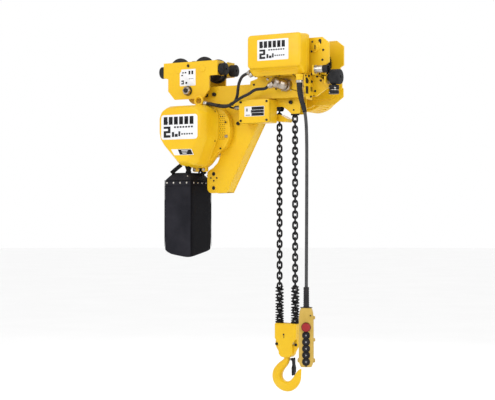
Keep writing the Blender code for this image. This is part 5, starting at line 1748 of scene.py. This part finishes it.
def hook():
    """The forged hook: a round shank that turns into a wedge section, widest on the inside."""
    x0 = BLOCK_AXIS[0]
    bend = smooth_route(HOOK_BEND, 72)
    head = [(0, HOOK_HEAD_Z, 0.016), (0, HOOK_HEAD_Z - 0.0088, 0.016), (0, HOOK_HEAD_Z - 0.0092, 0.0125)]
    route = [Vector((x0 + x, 0, z)) for x, z, _ in head + bend]
    sizes = [r for *_, r in head + bend]
    section = HOOK_SECTION + [(px, -py) for px, py in reversed(HOOK_SECTION[1:-1])]
    last = len(route) - 1
    rings = []
    for k, p in enumerate(route):
        way = (route[min(k + 1, last)] - route[max(k - 1, 0)]).normalized()
        inward = Vector((-way.z, 0, way.x))
        wedge = min(1.0, max(0.0, (k - 6) / 16)) * min(1.0, max(0.2, (last - k) / 14))
        r = sizes[k]
        ring = []
        for px, py in section:
            a = math.atan2(py, px)
            u = math.cos(a) * (1 - wedge) + px * wedge
            v = math.sin(a) * (1 - wedge) + py * wedge
            ring.append(p + inward * u * r + Vector((0, 1, 0)) * v * r)
        rings.append(ring)
    tip, way = route[-1], (route[-1] - route[-2]).normalized()
    end = rings[-1]
    for t in (0.45, 0.8, 0.97):
        drop = math.sqrt(1 - t * t)
        rings.append([tip + way * sizes[-1] * t + (q - tip) * drop for q in end])
    bm = bmesh.new()
    loft(bm, rings)
    piece("hook_forging", bm, YELLOW, "hook", nodes=["hook"], sharp=50)


def hook_latch():
    """A folded sheet latch on a pin through the hook's neck, with its torsion spring."""
    bm = bmesh.new()
    outline = [
        (0.2248, -1.276), (0.235, -1.276), (0.2395, -1.273), (0.244, -1.2745),
        (0.245, -1.305), (0.249, -1.318), (0.248, -1.337), (0.2405, -1.3535),
        (0.2345, -1.3535), (0.2335, -1.32), (0.237, -1.304), (0.2355, -1.287),
        (0.2248, -1.2845),
    ]
    smooth = fillet(outline, 0.0016, 3)
    for low, high in ((-0.009, -0.0075), (0.0075, 0.009)):
        casting(bm, smooth, both_sides(low, high, 0.0004, 2))
    web = [(0.244, -1.28), (0.2448, -1.305), (0.2488, -1.3185), (0.2476, -1.337), (0.2404, -1.3525)]
    rings = [[Vector(p) for p in ((x - 0.0016, -0.0086, z), (x, -0.0086, z), (x, 0.0086, z),
                                  (x - 0.0016, 0.0086, z))] for x, z in web]
    loft(bm, rings)
    block(bm, (0.235, -0.008, -1.3533), (0.24, 0.008, -1.3518))
    piece("hook_latch_folded", bm, BLACK_STEEL, "hook_latch", nodes=["hook_latch"], bevel=0.0003)
    bm = bmesh.new()
    x, z = LATCH_AXIS
    lathe(bm, [(0, -0.0112), (0.0034, -0.0112), (0.0034, -0.0096), (0.0021, -0.0094), (0.0021, 0.0094),
               (0.0034, 0.0096), (0.0034, 0.0112), (0, 0.0112)], (x, 0, z), (0, 1, 0), 20)
    coil = []
    for k in range(97):
        a = 2 * math.pi * 6 * k / 96
        coil.append((x + 0.0037 * math.cos(a), -0.0066 + 0.0132 * k / 96, z + 0.0037 * math.sin(a)))
    coil += [(x + 0.005, 0.0066, z - 0.008), (x + 0.01, 0.006, z - 0.02)]
    sweep(bm, coil, 0.0009, 8)
    piece("hook_latch_spring", bm, ZINC, "hook_latch")


# ---- pendant ----------------------------------------------------------------------------------------
PENDANT_Z = (-1.285, -1.03)
TURN = Matrix.Translation(PENDANT) @ Matrix.Rotation(PENDANT_TURN, 4, "Z")
PENDANT_OUT = TURN.to_3x3() @ Vector((0, -1, 0))     # the way its buttons face


def turned_ring(half_x, half_y, radius, z):
    """A round-cornered ring across the pendant, whose buttons face its own -Y."""
    return [TURN @ Vector((x, y, z)) for x, y in rounded((-half_x, -half_y), (half_x, half_y), radius, 7)]


def pendant_body():
    """The pendant's shell, the mouldings round its buttons, its screws and the gasket on top."""
    wide, deep = PENDANT_SIZE[0] / 2, PENDANT_SIZE[1] / 2
    low, high = PENDANT_Z
    levels = [
        (high, 0.011, 0.008), (high - 0.0006, 0.0095, 0.006), (high - 0.003, 0.0072, 0.004),
        (high - 0.01, 0.0042, 0.0024), (high - 0.022, 0.0016, 0.0008), (high - 0.044, -0.0008, 0.0),
        (low + 0.044, -0.0012, 0.0), (low + 0.026, -0.0014, 0.0), (low + 0.018, 0.0004, 0.0),
        (low + 0.006, 0.005, 0.001), (low + 0.0012, 0.0072, 0.0026), (low, 0.01, 0.0056),
    ]
    bm = bmesh.new()
    rings = [turned_ring(wide - dx, deep - dy, 0.009, z) for z, dx, dy in levels]
    loft(bm, rings)
    piece("pendant_shell", bm, PALE, "pendant", nodes=["pendant_body"], sharp=42)
    bm = bmesh.new()
    z_low, z_high = BUTTON_Z[-1] - 0.0165, STOP_Z + 0.0225
    frame_line = rounded((-0.0168, z_low), (0.0168, z_high), 0.016, 10)
    path = [TURN @ Vector((x, -deep - 0.0004, z)) for x, z in frame_line]
    sweep(bm, path, 0.001, 8, close=True)
    for side, z, r in ((1, -1.0735, 0.008), (1, -1.169, 0.008), (1, -1.2575, 0.01),
                       (-1, -1.2575, 0.01)):
        boss = [(0, 0), (r, 0), (r * 0.94, 0.0045), (r * 0.62, 0.0074), (0, 0.0074)]
        at = TURN @ Vector((side * (wide - 0.0002), 0.003, z))
        lathe(bm, boss, at, TURN.to_3x3() @ Vector((side, 0, 0)), 24)
    piece("pendant_mouldings", bm, PALE, "pendant")
    bm = bmesh.new()
    for x, z in ((0.019, -1.063), (0.0, -1.28)):
        pan_screw(bm, TURN @ Vector((x, -deep - 0.0001, z)), PENDANT_OUT, 0.0032)
    piece("pendant_screws", bm, DARK_IRON, "pendant")
    bm = bmesh.new()
    half = 0.0008
    rings = [turned_ring(wide - d, deep - d, 0.0085, high + 0.0005 + dz)
             for d, dz in ((0.0052, -half), (0.004, 0.0), (0.0052, half), (0.012, half), (0.012, -half))]
    loft(bm, rings, close=True)
    piece("pendant_gasket", bm, SHEATH, "pendant")


def mark_triangle(bm, centre, size, turn_deg, index):
    """A small raised arrow on a button."""
    rings = []
    for lift in (0.0, 0.0005):
        ring = []
        for a in (90, 210, 330):
            b = math.radians(a + turn_deg)
            ring.append(TURN @ (centre + Vector((size * math.cos(b), -lift, size * math.sin(b)))))
        rings.append(ring)
    loft(bm, rings, index=index)


def buttons():
    """Five buttons that share one guard, and the stop button with its own."""
    deep = PENDANT_SIZE[1] / 2
    guard = bmesh.new()
    r = 0.0172
    lobe = math.degrees(math.asin((BUTTON_Z[0] - BUTTON_Z[1]) / 2 / r))
    outline = []
    for k, z in enumerate(reversed(BUTTON_Z)):
        outline += arc((0, z), r, -90 if k == 0 else -lobe, 90 if k == 4 else lobe, 15)
    outline += [(-x, z) for x, z in reversed(outline)][1:-1]
    rings = [[TURN @ Vector((x, -deep - y, z)) for x, z in inset(outline, d)]
             for y, d in ((-0.001, 0.0), (0.0016, 0.0), (0.0024, 0.0008))]
    loft(guard, rings)
    turns = {"up": 0, "down": 180, "left": 90, "right": -90, "start": None}
    for (word, turn), z in zip(turns.items(), BUTTON_Z):
        ring = [(0.0132, 0.001), (0.015, 0.001), (0.015, 0.0034), (0.0142, 0.0044),
                (0.0134, 0.0044), (0.0128, 0.0034), (0.0127, 0.001)]
        lathe(guard, ring, TURN @ Vector((0, -deep, z)), PENDANT_OUT, 40, close=True)
        bm = bmesh.new()
        cap = [(0, -0.0075), (0.0122, -0.0075), (0.0122, 0.0046), (0.0116, 0.0058), (0.0098, 0.0064),
               (0.0086, 0.006), (0.006, 0.0056), (0, 0.0054)]
        lathe(bm, cap, TURN @ Vector((0, -deep, z)), PENDANT_OUT, 36)
        middle = Vector((0, -deep - 0.0054, z))
        if turn is None:
            lathe(bm, [(0.0026, 0.0), (0.0026, 0.0007), (0.0042, 0.0007), (0.0042, 0.0)],
                  TURN @ middle, PENDANT_OUT, 28, close=True, index=1)
        else:
            mark_triangle(bm, middle, 0.0048, turn, 1)
        piece(f"button_{word}_cap", bm, [BLACK_PLASTIC, PALE_MARK], f"button_{word}",
              slot="button_black", nodes=[f"button_{word}"])
    piece("button_guards", guard, BLACK_PLASTIC, "pendant", slot="button_black")
    bm = bmesh.new()
    at = TURN @ Vector((0, -deep, STOP_Z))
    lathe(bm, [(0.019, -0.003), (0.0204, -0.0002), (0.0207, 0.0014), (0.0202, 0.0028), (0.019, 0.003)],
          at, PENDANT_OUT, 40, close=True)
    piece("stop_guard", bm, DARK_RED, "pendant")
    bm = bmesh.new()
    head = [(0, -0.0075), (0.0103, -0.0075), (0.0105, 0.006), (0.017, 0.0062), (0.0182, 0.007),
            (0.0185, 0.0086), (0.0178, 0.0102), (0.0158, 0.012), (0.0125, 0.0129), (0.006, 0.0132),
            (0, 0.0133)]
    lathe(bm, head, at, PENDANT_OUT, 48)
    piece("stop_button_head", bm, RED_PLASTIC, "stop_button", nodes=["stop_button"])


# ---- room and light -------------------------------------------------------------------------------
def room():
    """A wide pale floor, and an even white sky."""
    bm = bmesh.new()
    rings = []
    for r in (0.5, 2.0, 8.0, 40.0):
        rings.append([(r * math.cos(a), r * math.sin(a), FLOOR_Z) for a in around(48)])
    loft(bm, rings, caps=(True, False))
    mesh = bpy.data.meshes.new("floor")
    bm.to_mesh(mesh)
    bm.free()
    floor = link("floor", mesh)
    made, tree, shader, place = start("floor_paper", 0.9, 0.0, 0.0, 0.1)
    drift = ramp(tree, noise_of(tree, place, 1.5, 3.0), 0.3, 0.7)
    tree.links.new(mixed(tree, drift, (0.96, 0.96, 0.96, 1), (0.94, 0.94, 0.94, 1)),
                   shader.inputs["Base Color"])
    mesh.materials.append(made)
    world = bpy.data.worlds.new("studio")
    bpy.context.scene.world = world
    world.use_nodes = True
    sky = world.node_tree.nodes["Background"]
    sky.inputs["Color"].default_value = (1.0, 1.0, 1.0, 1)
    sky.inputs["Strength"].default_value = 1.0


def lamp(name, at, target, size, power):
    """A square soft light that looks at a target."""
    data = bpy.data.lights.new(name, "AREA")
    data.shape = "RECTANGLE"
    data.size = size
    data.size_y = size
    data.energy = power
    obj = link(name, data)
    obj.location = at
    obj.rotation_mode = "QUATERNION"
    obj.rotation_quaternion = (Vector(target) - Vector(at)).to_track_quat("-Z", "Y")


def lights():
    """A key light from the left, a fill from the right and one from behind."""
    lamp("key_softbox", (-1.2, -4.2, 1.8), (0.05, 0, -0.4), 2.2, 53)
    lamp("fill_softbox", (4.0, -2.2, 0.6), (0.1, 0, -0.5), 2.6, 46)
    lamp("back_softbox", (-0.8, 3.8, 1.8), (0, 0, -0.4), 2.4, 34)


# ---- build ----------------------------------------------------------------------------------------
def build():
    """Makes every piece, then the floor, sky and lights."""
    carried_nodes()
    frame_fittings()
    wheels()
    axle_ends()
    buffers()
    drive_plate_details()
    travel_drive()
    control_cover()
    labels()
    power_inlet()
    motor_plug()
    leads()
    safety_wire()
    limit_switch()
    hoist_cover()
    hoist_gearcase()
    hoist_motor()
    eye_bolt()
    chain_bag()
    bag_fittings()
    chain()
    sheaves()
    block_half(-1)
    block_half(1)
    block_fittings()
    stop_springs()
    hook()
    hook_latch()
    pendant_body()
    buttons()
    room()
    lights()


build()
bpy.context.scene.view_settings.view_transform = "Standard"
